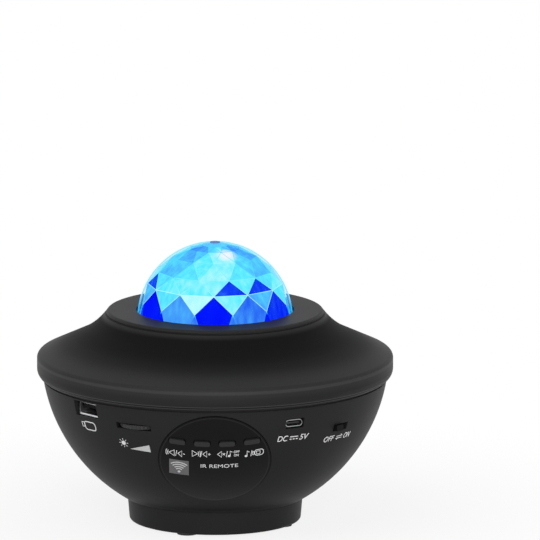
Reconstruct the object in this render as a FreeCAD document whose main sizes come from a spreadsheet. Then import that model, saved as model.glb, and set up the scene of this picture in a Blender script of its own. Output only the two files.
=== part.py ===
import FreeCAD, Part
import math
import os
import Sketcher

# A star night light projector: a bowl-shaped housing on a round foot, a wide rim and a collar
# that flares up to a faceted dome. Millimetres, +Z up, origin under the middle of the foot,
# and the control panel faces -Y. Azimuths turn from the front towards +X.

DRIVING_SIZES = (
    ("rim_radius", 84.0, "widest radius of the housing"),
    ("wall", 2.4, "thickness of the housing walls"),
    ("foot_stand", 1.0, "how far the rubber feet hold the base off the table"),
    ("bowl_bottom", 12.5, "height of the joint between base and bowl"),
    ("bowl_offset", 1.5, "distance of the bowl curve's centre from the axis"),
    ("bowl_centre", 81.7, "height of the bowl curve's centre"),
    ("bowl_curve", 80.65, "radius of the bowl curve"),
    ("bowl_opening", 24.0, "radius of the hole in the bowl's floor"),
    ("reveal_height", 68.4, "height where the groove under the rim starts"),
    ("reveal_depth", 0.75, "depth of the groove under the rim"),
    ("seam_height", 69.2, "height of the cover's lower edge"),
    ("tongue_height", 2.0, "how far the bowl reaches up into the cover"),
    ("skirt_radius", 81.3, "radius of the cover's lower edge"),
    ("rim_low", 73.6, "height where the rim's upright band starts"),
    ("rim_high", 78.4, "height where the rim's upright band ends"),
    ("rim_round", 2.34, "radius of the rim's upper edge"),
    ("flare_slope", 24.8, "slope of the shoulder in degrees"),
    ("flare_start", 66.0, "radius where the shoulder starts to curve up"),
    ("flare_curve", 37.7, "radius of that curve"),
    ("collar_edge", 51.0, "radius where the curve meets the collar's edge"),
    ("collar_top", 101.4, "height of the collar"),
    ("collar_hole", 37.2, "radius of the hole round the dome"),
    ("dome_radius", 36.65, "outer radius of the dome"),
    ("dome_centre", 96.9, "height of the dome's centre"),
    ("dome_skin", 0.6, "thickness of the dome at a corner of its facets"),
    ("dome_gate", 2.4, "radius of the gate mark on top of the dome"),
    ("dome_flange", 41.5, "radius of the flange that holds the dome"),
    ("flange_thickness", 1.8, "thickness of that flange"),
    ("dome_sides", 12.0, "facets round the dome in each row"),
    ("dome_twist", -0.9, "azimuth of a facet's peak in degrees"),
    ("valley_latitude", 13.6, "latitude of the corners between two pentagons"),
    ("base_low_radius", 40.5, "radius of the base at its bottom"),
    ("base_high_radius", 41.4, "radius of the base at its top"),
    ("base_wall", 2.0, "thickness of the base"),
    ("foot_ring", 34.0, "distance of the rubber feet from the axis"),
    ("foot_pad", 4.8, "radius of a rubber foot"),
    ("board_top", 59.5, "height of the main board's upper face"),
    ("board_thickness", 1.6, "thickness of a circuit board"),
    ("board_radius", 73.0, "radius of the main board"),
    ("pillar_ring", 37.0, "distance of the board's pillars from the axis"),
    ("panel_radius", 26.25, "radius of the control panel"),
    ("panel_tilt", 29.7, "how far the panel looks down, in degrees"),
    ("panel_thickness", 1.4, "thickness of the panel"),
    ("panel_recess", 1.2, "depth of the panel's seat in the bowl"),
    ("button_pitch", 11.7, "distance between two buttons"),
    ("button_rise", 12.6, "how far the buttons sit above the panel's centre"),
    ("button_length", 7.4, "length of a button"),
    ("button_height", 2.5, "height of a button"),
    ("button_stand", 0.9, "how far a button stands out of the panel"),
    ("window_size", 9.2, "side of the receiver's window"),
    ("window_across", -16.7, "place of the window across the panel"),
    ("window_rise", -3.0, "place of the window up the panel"),
    ("control_depth", 14.0, "depth of the control board under the panel"),
    ("control_radius", 22.5, "radius of the control board"),
    ("socket_azimuth", -49.2, "azimuth of the memory stick's socket"),
    ("socket_height", 64.0, "height of that socket"),
    ("socket_width", 13.2, "width of that socket's shell"),
    ("socket_tall", 5.7, "height of that socket's shell"),
    ("socket_back", 64.1, "distance of that shell's back from the axis"),
    ("socket_mouth", 77.7, "distance of its mouth from the axis"),
    ("dial_azimuth", -28.9, "azimuth of the brightness dial"),
    ("dial_height", 59.3, "height of the dial"),
    ("dial_radius", 11.0, "radius of the dial"),
    ("dial_place", 69.0, "distance of the dial from the axis"),
    ("dial_thickness", 1.9, "thickness of the dial"),
    ("dial_slot", 18.4, "length of the dial's slot"),
    ("inlet_azimuth", 28.3, "azimuth of the power inlet"),
    ("inlet_height", 61.2, "height of the power inlet"),
    ("inlet_width", 8.94, "width of the power inlet's shell"),
    ("inlet_tall", 3.26, "height of the power inlet's shell"),
    ("inlet_back", 70.8, "distance of the inlet's back from the axis"),
    ("inlet_mouth", 78.2, "distance of its mouth from the axis"),
    ("switch_azimuth", 49.3, "azimuth of the power switch"),
    ("switch_height", 55.5, "height of the power switch"),
    ("switch_travel", 4.0, "travel of the power switch's knob"),
    ("deck_height", 76.0, "height of the optical deck's lower face"),
    ("deck_radius", 64.0, "radius of the optical deck"),
    ("deck_post_ring", 60.0, "distance of the deck's posts from the axis"),
    ("gear_module", 0.8, "module of the ripple drive's teeth"),
    ("wheel_teeth", 72.0, "teeth of the ripple wheel"),
    ("pinion_teeth", 12.0, "teeth of the pinion"),
    ("gear_low", 87.5, "height of the teeth's lower face"),
    ("gear_face", 4.0, "width of the ripple wheel's teeth"),
    ("tower_radius", 24.45, "radius of the tower that the ripple wheel runs on"),
    ("running_gap", 0.05, "radial gap between a shaft and its hole"),
    ("laser_azimuth", -110.0, "azimuth of the laser"),
    ("laser_place", 33.4, "distance of the laser from the axis"),
    ("laser_radius", 3.2, "radius of the laser"),
    ("speaker_radius", 20.3, "radius of the loudspeaker"),
    ("speaker_low", 3.6, "height of the loudspeaker's front face"),
)

# Latitudes of the rings where the dome's upper facets meet, from the pentagons' peaks to the flat table
RING_LATITUDES = (28.0, 40.7, 57.0, 71.0, 80.0)

doc = FreeCAD.newDocument("night_light_projector")
sheet = doc.addObject("Spreadsheet::Sheet", "Sizes")


class Size:
    """A length, angle or count that knows its number and the sheet expression behind it."""

    def __init__(self, number, words):
        self.number = float(number)
        self.words = words

    def combine(self, sign, other, number):
        return Size(number, "(%s %s %s)" % (self.words, sign, other.words))

    def __add__(self, other):
        other = as_size(other)
        return self.combine("+", other, self.number + other.number)

    def __radd__(self, other):
        return as_size(other) + self

    def __sub__(self, other):
        other = as_size(other)
        return self.combine("-", other, self.number - other.number)

    def __rsub__(self, other):
        return as_size(other) - self

    def __mul__(self, other):
        other = as_size(other)
        return self.combine("*", other, self.number * other.number)

    def __rmul__(self, other):
        return as_size(other) * self

    def __truediv__(self, other):
        other = as_size(other)
        return self.combine("/", other, self.number / other.number)

    def __neg__(self):
        return Size(-self.number, "(0 - %s)" % self.words)


def as_size(value):
    if isinstance(value, Size):
        return value
    return Size(value, "%.9g" % value if value >= 0 else "(%.9g)" % value)


def sine(angle):
    return Size(math.sin(math.radians(angle.number)), "sin(%s)" % angle.words)


def cosine(angle):
    return Size(math.cos(math.radians(angle.number)), "cos(%s)" % angle.words)


def tangent(angle):
    return Size(math.tan(math.radians(angle.number)), "tan(%s)" % angle.words)


def root(value):
    return Size(math.sqrt(value.number), "sqrt(%s)" % value.words)


def other_side(longest, side):
    """The third side of a right triangle."""
    return root(longest * longest - side * side)


class Sizes:
    """The driving sizes, each under its own name."""


s = Sizes()
for row, (alias, value, note) in enumerate(DRIVING_SIZES, 1):
    sheet.set("A%d" % row, note)
    sheet.set("B%d" % row, "%g" % value)
    sheet.setAlias("B%d" % row, alias)
    setattr(s, alias, Size(value, "Sizes." + alias))
doc.recompute()

pieces = []
START, END, MIDDLE = 1, 2, 3


def placement(place, angles):
    """A placement's expression from a point and its yaw, pitch and roll."""
    point = "; ".join(as_size(value).words for value in place)
    turn = "; ".join(as_size(value).words for value in angles)
    return "placement(vector(%s); rotation(%s))" % (point, turn)


def new_body(label, place=(0, 0, 0), angles=(0, 0, 0), kept=True):
    body = doc.addObject("PartDesign::Body", label)
    body.Label = label
    body.setExpression("Placement", placement(place, angles))
    if kept:
        pieces.append(body)
    return body


def side_body(label, azimuth, height):
    """A body whose Z points out of the housing at an azimuth, and whose Y points up."""
    return new_body(label, (0, 0, height), (azimuth, 0, 90))


def origin_part(body, role):
    return [part for part in body.Origin.OriginFeatures if part.Role == role][0]


class Drawing:
    """A sketch whose corners and radii are all tied to the sheet."""

    def __init__(self, body, plane="XY_Plane", place=(0, 0, 0), angles=(0, 0, 0)):
        self.sketch = body.newObject("Sketcher::SketchObject", "Sketch")
        self.sketch.AttachmentSupport = [(origin_part(body, plane), "")]
        self.sketch.MapMode = "FlatFace"
        self.sketch.setExpression("AttachmentOffset", placement(place, angles))

    def constrain(self, value, *terms):
        index = self.sketch.addConstraint(Sketcher.Constraint(*terms, value.number))
        if "Sizes." in value.words:
            self.sketch.setExpression("Constraints[%d]" % index, value.words)

    def pin(self, geometry, end, point):
        for kind, value in zip(("DistanceX", "DistanceY"), point):
            self.constrain(value, kind, -1, START, geometry, end)

    def circle(self, x, y, radius):
        x, y, radius = as_size(x), as_size(y), as_size(radius)
        centre = FreeCAD.Vector(x.number, y.number, 0)
        shape = Part.Circle(centre, FreeCAD.Vector(0, 0, 1), radius.number)
        geometry = self.sketch.addGeometry(shape, False)
        self.pin(geometry, MIDDLE, (x, y))
        self.constrain(radius, "Radius", geometry)
        return self

    def arc(self, start, end, radius):
        """An arc between two points, anticlockwise where the radius is positive."""
        chord = end - start
        left = FreeCAD.Vector(-chord.y, chord.x, 0).normalize()
        side = 1 if radius > 0 else -1
        height = math.sqrt(max(radius * radius - chord.Length ** 2 / 4, 0))
        centre = (start + end) * 0.5 + left * (side * height)
        first, last = (start, end) if side > 0 else (end, start)
        low = math.atan2(first.y - centre.y, first.x - centre.x)
        high = math.atan2(last.y - centre.y, last.x - centre.x)
        if high < low:
            high += 2 * math.pi
        circle = Part.Circle(centre, FreeCAD.Vector(0, 0, 1), abs(radius))
        return Part.ArcOfCircle(circle, low, high)

    def outline(self, *corners):
        """A closed outline. A corner with a third value is reached by an arc of that radius."""
        corners = [tuple(as_size(value) for value in corner) for corner in corners]
        points = [FreeCAD.Vector(corner[0].number, corner[1].number, 0) for corner in corners]
        links = []
        for index, corner in enumerate(corners):
            start = points[index - 1]
            if len(corner) == 3:
                shape = self.arc(start, points[index], corner[2].number)
                geometry = self.sketch.addGeometry(shape, False)
                ends = (START, END) if corner[2].number > 0 else (END, START)
                radius = corner[2] if corner[2].number > 0 else -corner[2]
                self.constrain(radius, "Radius", geometry)
            else:
                shape = Part.LineSegment(start, points[index])
                geometry = self.sketch.addGeometry(shape, False)
                ends = (START, END)
            self.pin(geometry, ends[0], corners[index - 1][:2])
            links.append((geometry, ends))
        for index, (geometry, ends) in enumerate(links):
            last, last_ends = links[index - 1]
            joint = Sketcher.Constraint("Coincident", last, last_ends[1], geometry, ends[0])
            self.sketch.addConstraint(joint)
        return self

    def box(self, left, low, right, high):
        return self.outline((left, low), (right, low), (right, high), (left, high))

    def rectangle(self, x, y, width, height):
        half, tall = as_size(width) / 2, as_size(height) / 2
        return self.box(x - half, y - tall, x + half, y + tall)

    def rounded(self, x, y, width, height, radius):
        """A rectangle with round corners, or round ends where the radius is half its height."""
        x, y, r = as_size(x), as_size(y), as_size(radius)
        half, tall = as_size(width) / 2, as_size(height) / 2
        left, right, low, high = x - half, x + half, y - tall, y + tall
        corners = [(right - r, low), (right, low + r, r), (right, high - r), (right - r, high, r)]
        corners += [(left + r, high), (left, high - r, r), (left, low + r), (left + r, low, r)]
        if tall.number - r.number < 0.001:
            corners = [(right - r, low), (right, y, r), (right - r, high, r)]
            corners += [(left + r, high), (left, y, r), (left + r, low, r)]
        return self.outline(*corners)


def add(body, kind, drawing, **settings):
    """Add a feature made from a drawing. Sizes among the settings are tied to the sheet."""
    feature = body.newObject("PartDesign::" + kind, kind)
    feature.Profile = drawing.sketch
    for name, value in settings.items():
        if isinstance(value, Size):
            setattr(feature, name, value.number)
            feature.setExpression(name, value.words)
        else:
            setattr(feature, name, value)
    return feature


def spin(body, *corners, **where):
    """Turn an outline of (radius, height) corners about the body's own axis."""
    drawing = Drawing(body, "XZ_Plane", **where).outline(*corners)
    return add(body, "Revolution", drawing, ReferenceAxis=(drawing.sketch, ["V_Axis"]), Angle=360)


def pad(body, drawing, length, **settings):
    return add(body, "Pad", drawing, Length=as_size(length), **settings)


def pocket(body, drawing, length, **settings):
    return add(body, "Pocket", drawing, Length=as_size(length), **settings)


def block(body, across, along, rise):
    """A block given by its limits in X, Y and Z."""
    drawing = Drawing(body, place=(0, 0, rise[0]))
    drawing.box(as_size(across[0]), as_size(along[0]), as_size(across[1]), as_size(along[1]))
    return pad(body, drawing, rise[1] - as_size(rise[0]))


def rod(body, x, y, radius, rise):
    drawing = Drawing(body, place=(0, 0, rise[0])).circle(x, y, radius)
    return pad(body, drawing, rise[1] - as_size(rise[0]))


def ring_of(body, feature, count, angle=360.0):
    pattern = body.newObject("PartDesign::PolarPattern", "PolarPattern")
    pattern.Originals = feature if isinstance(feature, list) else [feature]
    pattern.Axis = (origin_part(body, "Z_Axis"), [""])
    pattern.Angle = angle
    pattern.Occurrences = count
    body.Tip = pattern
    return pattern


def row_of(body, feature, role, length, count):
    pattern = body.newObject("PartDesign::LinearPattern", "LinearPattern")
    pattern.Originals = [feature]
    pattern.Direction = (origin_part(body, role), [""])
    pattern.Length = length
    pattern.Occurrences = count
    body.Tip = pattern
    return pattern


def polar(distance, azimuth):
    """A point in plan at a distance and azimuth."""
    distance, azimuth = as_size(distance), as_size(azimuth)
    return distance * sine(azimuth), -(distance * cosine(azimuth))


# Curves that several pieces share
inner_curve = s.bowl_curve - s.wall
slope_sine, slope_cosine = sine(s.flare_slope), cosine(s.flare_slope)
shoulder_radius = s.rim_radius - s.rim_round + s.rim_round * slope_sine
shoulder_height = s.rim_high + s.rim_round * slope_cosine
flare_low = shoulder_height + (shoulder_radius - s.flare_start) * tangent(s.flare_slope)
flare_centre_radius = s.flare_start + s.flare_curve * slope_sine
flare_centre_height = flare_low + s.flare_curve * slope_cosine
board_low = s.board_top - s.board_thickness
panel_distance = s.bowl_offset + s.bowl_curve * cosine(s.panel_tilt)
panel_height = s.bowl_centre - s.bowl_curve * sine(s.panel_tilt)
panel_angles = (0, 0, s.panel_tilt + 90)
panel_place = (0, -panel_distance, panel_height)
gear_radius = s.gear_module * s.wheel_teeth / 2
pinion_radius = s.gear_module * s.pinion_teeth / 2
pinion_place = gear_radius + pinion_radius


def bowl_radius(height, curve):
    """Radius of the bowl's wall at a height, on its outer or its inner curve."""
    return s.bowl_offset + other_side(curve, s.bowl_centre - height)


def flare_height(radius, depth):
    """Height of the flared curve at a radius, and a depth under its surface."""
    return flare_centre_height - other_side(s.flare_curve + depth, flare_centre_radius - radius)


def crown(half_width, rise):
    """Radius of a dome with this half width and rise, square to its own axis at the top."""
    half_width, rise = as_size(half_width), as_size(rise)
    return (half_width * half_width + rise * rise) / (rise * 2)


def side_drawing(body, azimuth, height, distance):
    """A drawing on an upright plane that faces out at an azimuth."""
    place = (sine(azimuth) * distance, height, cosine(azimuth) * distance)
    return Drawing(body, "XZ_Plane", place, (0, azimuth, 0))


def panel_drawing(body, depth):
    """A drawing parallel to the control panel, at a depth under the bowl's surface."""
    height = panel_height + sine(s.panel_tilt) * depth
    distance = panel_distance - cosine(s.panel_tilt) * depth
    return Drawing(body, "XZ_Plane", (0, height, distance), (0, 0, s.panel_tilt))


def button_places():
    return [(s.button_pitch * step, s.button_rise) for step in (-1.5, -0.5, 0.5, 1.5)]


def screw_places():
    """Where the control board's screws sit, across and up the panel."""
    ring = s.control_radius - 2.2
    return [(ring * math.cos(turn), ring * math.sin(turn)) for turn in map(math.radians, (13, 167, 270))]


# Housing
def upper_cover():
    body = new_body("upper_cover")
    tongue_radius = s.skirt_radius - 1
    tongue_top = s.seam_height + s.tongue_height + 0.3
    rim_inner = s.rim_radius - s.wall
    inner_start = s.flare_start - s.wall * slope_sine
    inner_low = flare_low - s.wall * slope_cosine
    rim_under = s.rim_low - s.seam_height
    side = s.rim_radius - s.skirt_radius
    under_round = (side * side + rim_under * rim_under) / (side * 2)
    edge_height = flare_height(s.collar_edge, as_size(0))
    edge_cosine = (flare_centre_height - edge_height) / s.flare_curve
    edge_sine = (flare_centre_radius - s.collar_edge) / s.flare_curve
    edge_round = (s.collar_top - edge_height) / (1 - edge_cosine)
    plate_low = s.collar_top - s.wall
    inner_flare = s.flare_curve + s.wall
    plate_radius = flare_centre_radius - other_side(inner_flare, flare_centre_height - plate_low)
    spin(
        body,
        (s.skirt_radius, s.seam_height),
        (s.rim_radius, s.rim_low, under_round),
        (s.rim_radius, s.rim_high),
        (shoulder_radius, shoulder_height, s.rim_round),
        (s.flare_start, flare_low),
        (s.collar_edge, edge_height, -s.flare_curve),
        (s.collar_edge - edge_round * edge_sine, s.collar_top, edge_round),
        (s.collar_hole, s.collar_top),
        (s.collar_hole, plate_low),
        (plate_radius, plate_low),
        (inner_start, inner_low, inner_flare),
        (rim_inner, inner_low - (rim_inner - inner_start) * tangent(s.flare_slope)),
        (rim_inner, tongue_top + 1.6),
        (tongue_radius, tongue_top),
        (tongue_radius, s.seam_height),
    )
    # A fine groove runs round the collar just under its edge
    groove_radius = s.collar_edge + 0.55
    groove_height = flare_height(groove_radius, as_size(0))
    groove = Drawing(body, "XZ_Plane").circle(groove_radius, groove_height, 0.3)
    add(body, "Groove", groove, ReferenceAxis=(groove.sketch, ["V_Axis"]), Angle=360)
    post_top = as_size(90)
    x, y = polar(s.deck_post_ring, 45)
    post = rod(body, x, y, 2.5, (s.deck_height + 2, post_top))
    ring_of(body, post, 4)
    hole = Drawing(body, place=(0, 0, s.deck_height + 2)).circle(x, y, 1.1)
    ring_of(body, pocket(body, hole, 8, Reversed=True), 4)
    x, y = polar(45, 45)
    boss = rod(body, x, y, 2.4, (plate_low - s.flange_thickness, plate_low + 1))
    ring_of(body, boss, 4)
    hole = Drawing(body, place=(0, 0, plate_low - s.flange_thickness)).circle(x, y, 1.0)
    ring_of(body, pocket(body, hole, 3, Reversed=True), 4)


def lower_housing():
    body = new_body("lower_housing")
    floor_top = s.bowl_bottom + s.wall
    tongue_top = s.seam_height + s.tongue_height
    tongue_radius = bowl_radius(s.reveal_height, s.bowl_curve) - s.reveal_depth
    spin(
        body,
        (s.bowl_opening, s.bowl_bottom),
        (bowl_radius(s.bowl_bottom, s.bowl_curve), s.bowl_bottom),
        (bowl_radius(s.reveal_height, s.bowl_curve), s.reveal_height, s.bowl_curve),
        (tongue_radius, s.reveal_height),
        (tongue_radius, tongue_top),
        (bowl_radius(tongue_top, inner_curve), tongue_top),
        (bowl_radius(floor_top, inner_curve), floor_top, -inner_curve),
        (s.bowl_opening, floor_top),
    )
    add_pillars(body, floor_top)
    cut_side_ports(body)
    cut_panel_seat(body)


def add_pillars(body, floor_top):
    """Pillars for the main board, and short bosses for the base's screws."""
    x, y = polar(s.pillar_ring, 22.5)
    ring_of(body, rod(body, x, y, 3.5, (floor_top - 1, board_low)), 4)
    hole = Drawing(body, place=(0, 0, board_low)).circle(x, y, 1.1)
    ring_of(body, pocket(body, hole, 9), 4)
    x, y = polar(s.foot_ring, 67.5)
    ring_of(body, rod(body, x, y, 3.5, (floor_top - 1, floor_top + 8)), 4)
    hole = Drawing(body, place=(0, 0, s.bowl_bottom)).circle(x, y, 1.4)
    ring_of(body, pocket(body, hole, s.wall + 6.5, Reversed=True), 4)


def cut_side_ports(body):
    """Openings for the socket, the dial, the power inlet and the switch."""
    outside, reach = s.rim_radius + 2, 14
    drawing = side_drawing(body, s.socket_azimuth, s.socket_height, outside)
    drawing.rectangle(as_size(0), as_size(0), s.socket_width + 2.4, s.socket_tall + 1.5)
    pocket(body, drawing, reach)
    drawing = side_drawing(body, s.dial_azimuth, s.dial_height, outside)
    drawing.rectangle(as_size(0), as_size(0), s.dial_slot, s.dial_thickness + 0.9)
    pocket(body, drawing, reach)
    drawing = side_drawing(body, s.inlet_azimuth, s.inlet_height, outside)
    drawing.rounded(0, 0, s.inlet_width + 0.7, s.inlet_tall + 1.6, 0.6)
    pocket(body, drawing, reach)
    drawing = side_drawing(body, s.switch_azimuth, s.switch_height, outside)
    drawing.rectangle(as_size(0), as_size(0), s.switch_travel + 5.8, 3.5)
    pocket(body, drawing, reach + 2)


def cut_panel_seat(body):
    """The round seat of the control panel, the holes behind it and the bosses inside."""
    seat = s.panel_radius + 0.2
    curve = s.bowl_curve + 0.85 - s.panel_recess
    sag = curve - other_side(curve, seat)
    drawing = Drawing(body, "YZ_Plane", (-panel_distance, panel_height, 0), (s.panel_tilt + 90, 0, 0))
    drawing.outline(
        (0, -s.panel_recess), (seat, -(s.panel_recess + sag), -curve), (seat, as_size(4)), (0, 4)
    )
    add(body, "Groove", drawing, ReferenceAxis=(drawing.sketch, ["V_Axis"]), Angle=360)
    outer = curve - (s.wall - s.panel_recess) * 0.6
    for x, y in screw_places():
        reach = s.control_depth - (curve - other_side(outer, s.control_radius - 2.2) + 1)
        drawing = panel_drawing(body, s.control_depth).circle(x, y, 2.2)
        pad(body, drawing, reach)
        drawing = panel_drawing(body, s.control_depth).circle(x, y, 0.8)
        pocket(body, drawing, 5, Reversed=True)
    for x, y in button_places():
        drawing = panel_drawing(body, -4)
        drawing.rounded(x, y, s.button_length + 0.7, s.button_height + 0.7, 1.2)
        pocket(body, drawing, 14)
    drawing = panel_drawing(body, -4).rectangle(
        s.window_across, s.window_rise, s.window_size - 1.6, s.window_size - 1.6
    )
    pocket(body, drawing, 14)


def base_cup():
    body = new_body("base_cup")
    low = s.foot_stand
    floor_top = low + s.base_wall
    taper = s.base_high_radius - s.base_wall
    spin(
        body,
        (0, low),
        (s.base_low_radius - 1.2, low),
        (s.base_low_radius, low + 1.2, 1.2),
        (s.base_high_radius, s.bowl_bottom),
        (taper, s.bowl_bottom),
        (s.base_low_radius - s.base_wall, floor_top),
        (0, floor_top),
    )
    x, y = polar(s.foot_ring, 67.5)
    ring_of(body, rod(body, x, y, 4.2, (floor_top - 0.5, s.bowl_bottom)), 4)
    wall = spin(body, (20.6, floor_top - 0.5), (22.2, floor_top - 0.5), (22.2, 7), (20.6, 7))
    wall.Label = "speaker_seat"
    foot = Drawing(body, place=(0, 0, low)).circle(x, y, s.foot_pad)
    ring_of(body, pocket(body, foot, 1.2, Reversed=True), 4)
    head = Drawing(body, place=(0, 0, low)).circle(x, y, 2.9)
    ring_of(body, pocket(body, head, 6.5, Reversed=True), 4)
    shank = Drawing(body, place=(0, 0, low)).circle(x, y, 1.5)
    ring_of(body, pocket(body, shank, 14, Reversed=True), 4)
    grille = Drawing(body, place=(0, 0, low)).circle(0, 0, 1.3)
    pocket(body, grille, 3, Reversed=True)
    for count, distance in ((6, 5.0), (12, 10.0), (18, 15.0)):
        grille = Drawing(body, place=(0, 0, low)).circle(0, distance, 1.3)
        ring_of(body, pocket(body, grille, 3, Reversed=True), count)


def rubber_feet():
    body = new_body("rubber_feet")
    x, y = polar(s.foot_ring, 67.5)
    ring_of(body, rod(body, x, y, s.foot_pad, (as_size(0), s.foot_stand + 1.2)), 4)


def screws(label, places, head, shank, turned=4, body=None):
    """A ring of cylindrical-headed screws. Head and shank are (radius, low, high)."""
    body = body or new_body(label)
    for x, y in places:
        first = rod(body, x, y, head[0], head[1:])
        second = rod(body, x, y, shank[0], shank[1:])
        if turned > 1:
            ring_of(body, [first, second], turned)


# Dome
def ring_points(latitude, shift):
    """The facets' corners on one ring, in the dome's own frame."""
    corner_radius = s.dome_radius.number - s.dome_skin.number
    count = int(s.dome_sides.number)
    lift = corner_radius * math.sin(math.radians(latitude))
    out = corner_radius * math.cos(math.radians(latitude))
    points = []
    for index in range(count):
        turn = math.radians(s.dome_twist.number - 90 + (index + shift) * 360 / count)
        points.append(FreeCAD.Vector(out * math.cos(turn), out * math.sin(turn), lift))
    return points


def facet(*points):
    return Part.Face(Part.makePolygon(list(points) + [points[0]]))


def facet_rows():
    """The dome's inner facets: a row of pentagons, rows of triangles and a flat table."""
    valleys = ring_points(s.valley_latitude.number, 0.5)
    rings = []
    for level, latitude in enumerate(RING_LATITUDES):
        rings.append(ring_points(latitude, 0.5 * (level % 2)))
    count = len(valleys)
    peaks = rings[0]
    faces, feet = [], []
    bottom = s.collar_top.number - s.wall.number - s.flange_thickness.number
    drop = s.dome_centre.number - bottom
    for index in range(count):
        peak, left, right = peaks[index], valleys[index - 1], valleys[index]
        middle = (left + right) * 0.5
        share = (-drop - peak.z) / (middle.z - peak.z)
        foot = peak + (middle - peak) * share
        half = (right - left).normalize() * foot.Length * math.tan(math.radians(9.5))
        feet.append((foot - half, foot + half))
        faces.append(facet(peak, right, feet[-1][1], feet[-1][0], left))
    for index in range(count):
        ahead = (index + 1) % count
        faces.append(facet(valleys[index], feet[ahead][0], feet[index][1]))
        faces.append(facet(valleys[index], peaks[index], peaks[ahead]))
    for level, (lower, upper) in enumerate(zip(rings, rings[1:])):
        shift = 0 if level % 2 == 0 else 1
        for index in range(count):
            ahead = (index + 1) % count
            above = (index + shift) % count
            before = (above - 1) % count
            faces.append(facet(lower[index], lower[ahead], upper[above]))
            faces.append(facet(lower[index], upper[above], upper[before]))
    faces.append(facet(*rings[-1]))
    faces.append(facet(*[point for pair in feet for point in pair]))
    return faces


def dome_lens():
    flange_top = s.collar_top - s.wall
    flange_low = flange_top - s.flange_thickness
    low, high = flange_low - s.dome_centre, flange_top - s.dome_centre
    blank = new_body("dome_blank", (0, 0, s.dome_centre), kept=False)
    spin(
        blank,
        (0, low),
        (s.dome_flange, low),
        (s.dome_flange, high),
        (other_side(s.dome_radius, high), high),
        (0, s.dome_radius, s.dome_radius),
    )
    rod(blank, 0, 0, s.dome_gate, (s.dome_radius - 0.3, s.dome_radius + 0.2))
    facets = doc.addObject("Part::Feature", "dome_facets")
    facets.Shape = Part.makeSolid(Part.makeShell(facet_rows()))
    if facets.Shape.Volume < 0:
        facets.Shape = facets.Shape.reversed()
    facets.setExpression("Placement", placement((0, 0, s.dome_centre), (0, 0, 0)))
    lens = doc.addObject("Part::Cut", "dome_lens")
    lens.Label = "dome_lens"
    lens.Base, lens.Tool = blank, facets
    pieces.append(lens)


def dome_retaining_ring():
    body = new_body("dome_retaining_ring")
    top = s.collar_top - s.wall - s.flange_thickness
    spin(body, (38, top - 2.2), (48, top - 2.2), (48, top), (38, top))
    x, y = polar(45, 45)
    hole = Drawing(body, place=(0, 0, top)).circle(x, y, 1.0)
    ring_of(body, pocket(body, hole, 3), 4)
    screws("ring_screws", [(x, y)], (1.9, top - 3.6, top - 2.2), (1.0, top - 2.2, top + 2.5))


# Control panel
def panel_body(label):
    return new_body(label, panel_place, panel_angles)


def panel_curve(depth):
    """Radius of the panel's surface at a depth under the bowl's surface."""
    return s.bowl_curve + 0.85 - depth


def cap(body, radius, top, bottom):
    """A round disc with two curved faces, both centred with the bowl's surface."""
    upper, lower = panel_curve(-top), panel_curve(bottom)
    centre = panel_curve(as_size(0))
    spin(
        body,
        (0, lower - centre),
        (radius, other_side(lower, radius) - centre, -lower),
        (radius, other_side(upper, radius) - centre),
        (0, upper - centre, upper),
    )


def control_panel():
    body = panel_body("control_panel")
    proud = s.panel_thickness - s.panel_recess
    cap(body, s.panel_radius, proud, s.panel_recess)
    for x, y in button_places():
        drawing = Drawing(body, place=(0, 0, 4))
        drawing.rounded(x, y, s.button_length + 0.7, s.button_height + 0.7, 1.2)
        pocket(body, drawing, 14)
    drawing = Drawing(body, place=(0, 0, 4))
    drawing.rectangle(s.window_across, s.window_rise, s.window_size, s.window_size)
    pocket(body, drawing, 14)


def curved_key(label, blank, top):
    """A blank cut off by a curve that follows the panel's surface."""
    curve = panel_curve(-top)
    ball = doc.addObject("Part::Sphere", label + "_curve")
    ball.setExpression("Radius", curve.words)
    centre = panel_curve(as_size(0))
    distance = panel_distance - centre * cosine(s.panel_tilt)
    height = panel_height + centre * sine(s.panel_tilt)
    ball.setExpression("Placement", placement((0, -distance, height), (0, 0, 0)))
    key = doc.addObject("Part::Common", label)
    key.Label = label
    key.Base, key.Tool = blank, ball
    pieces.append(key)


def button(label, x, y):
    """A push button: its key, the flange that keeps it in and the stem that works its switch."""
    blank = new_body(label + "_blank", panel_place, panel_angles, kept=False)
    inner = panel_curve(s.wall + 0.15)
    across = Size(abs(x.number), "abs(%s)" % x.words) + s.button_length / 2 + 0.9
    along = y + s.button_height / 2 + 0.9
    corner = root(across * across + along * along)
    flange_top = other_side(inner, corner) - panel_curve(as_size(0)) - 0.35
    drawing = Drawing(blank, place=(0, 0, flange_top))
    drawing.rounded(x, y, s.button_length, s.button_height, 1.0)
    pad(blank, drawing, 3 - flange_top)
    drawing = Drawing(blank, place=(0, 0, flange_top))
    drawing.rectangle(x, y, s.button_length + 1.6, s.button_height + 1.6)
    pad(blank, drawing, 0.8, Reversed=True)
    block(blank, (x - 1.5, x + 1.5), (y - 0.8, y + 0.8), (4 - s.control_depth, flange_top))
    curved_key(label, blank, s.panel_thickness - s.panel_recess + s.button_stand)


def ir_window():
    blank = new_body("window_blank", panel_place, panel_angles, kept=False)
    cap(blank, as_size(24), s.panel_thickness - s.panel_recess, s.panel_recess)
    frame = new_body("window_frame", panel_place, panel_angles, kept=False)
    half = s.window_size / 2 - 0.02
    x, y = s.window_across, s.window_rise
    block(frame, (x - half, x + half), (y - half, y + half), (-10, 4))
    window = doc.addObject("Part::Common", "ir_window")
    window.Label = "ir_window"
    window.Base, window.Tool = blank, frame
    pieces.append(window)


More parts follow.
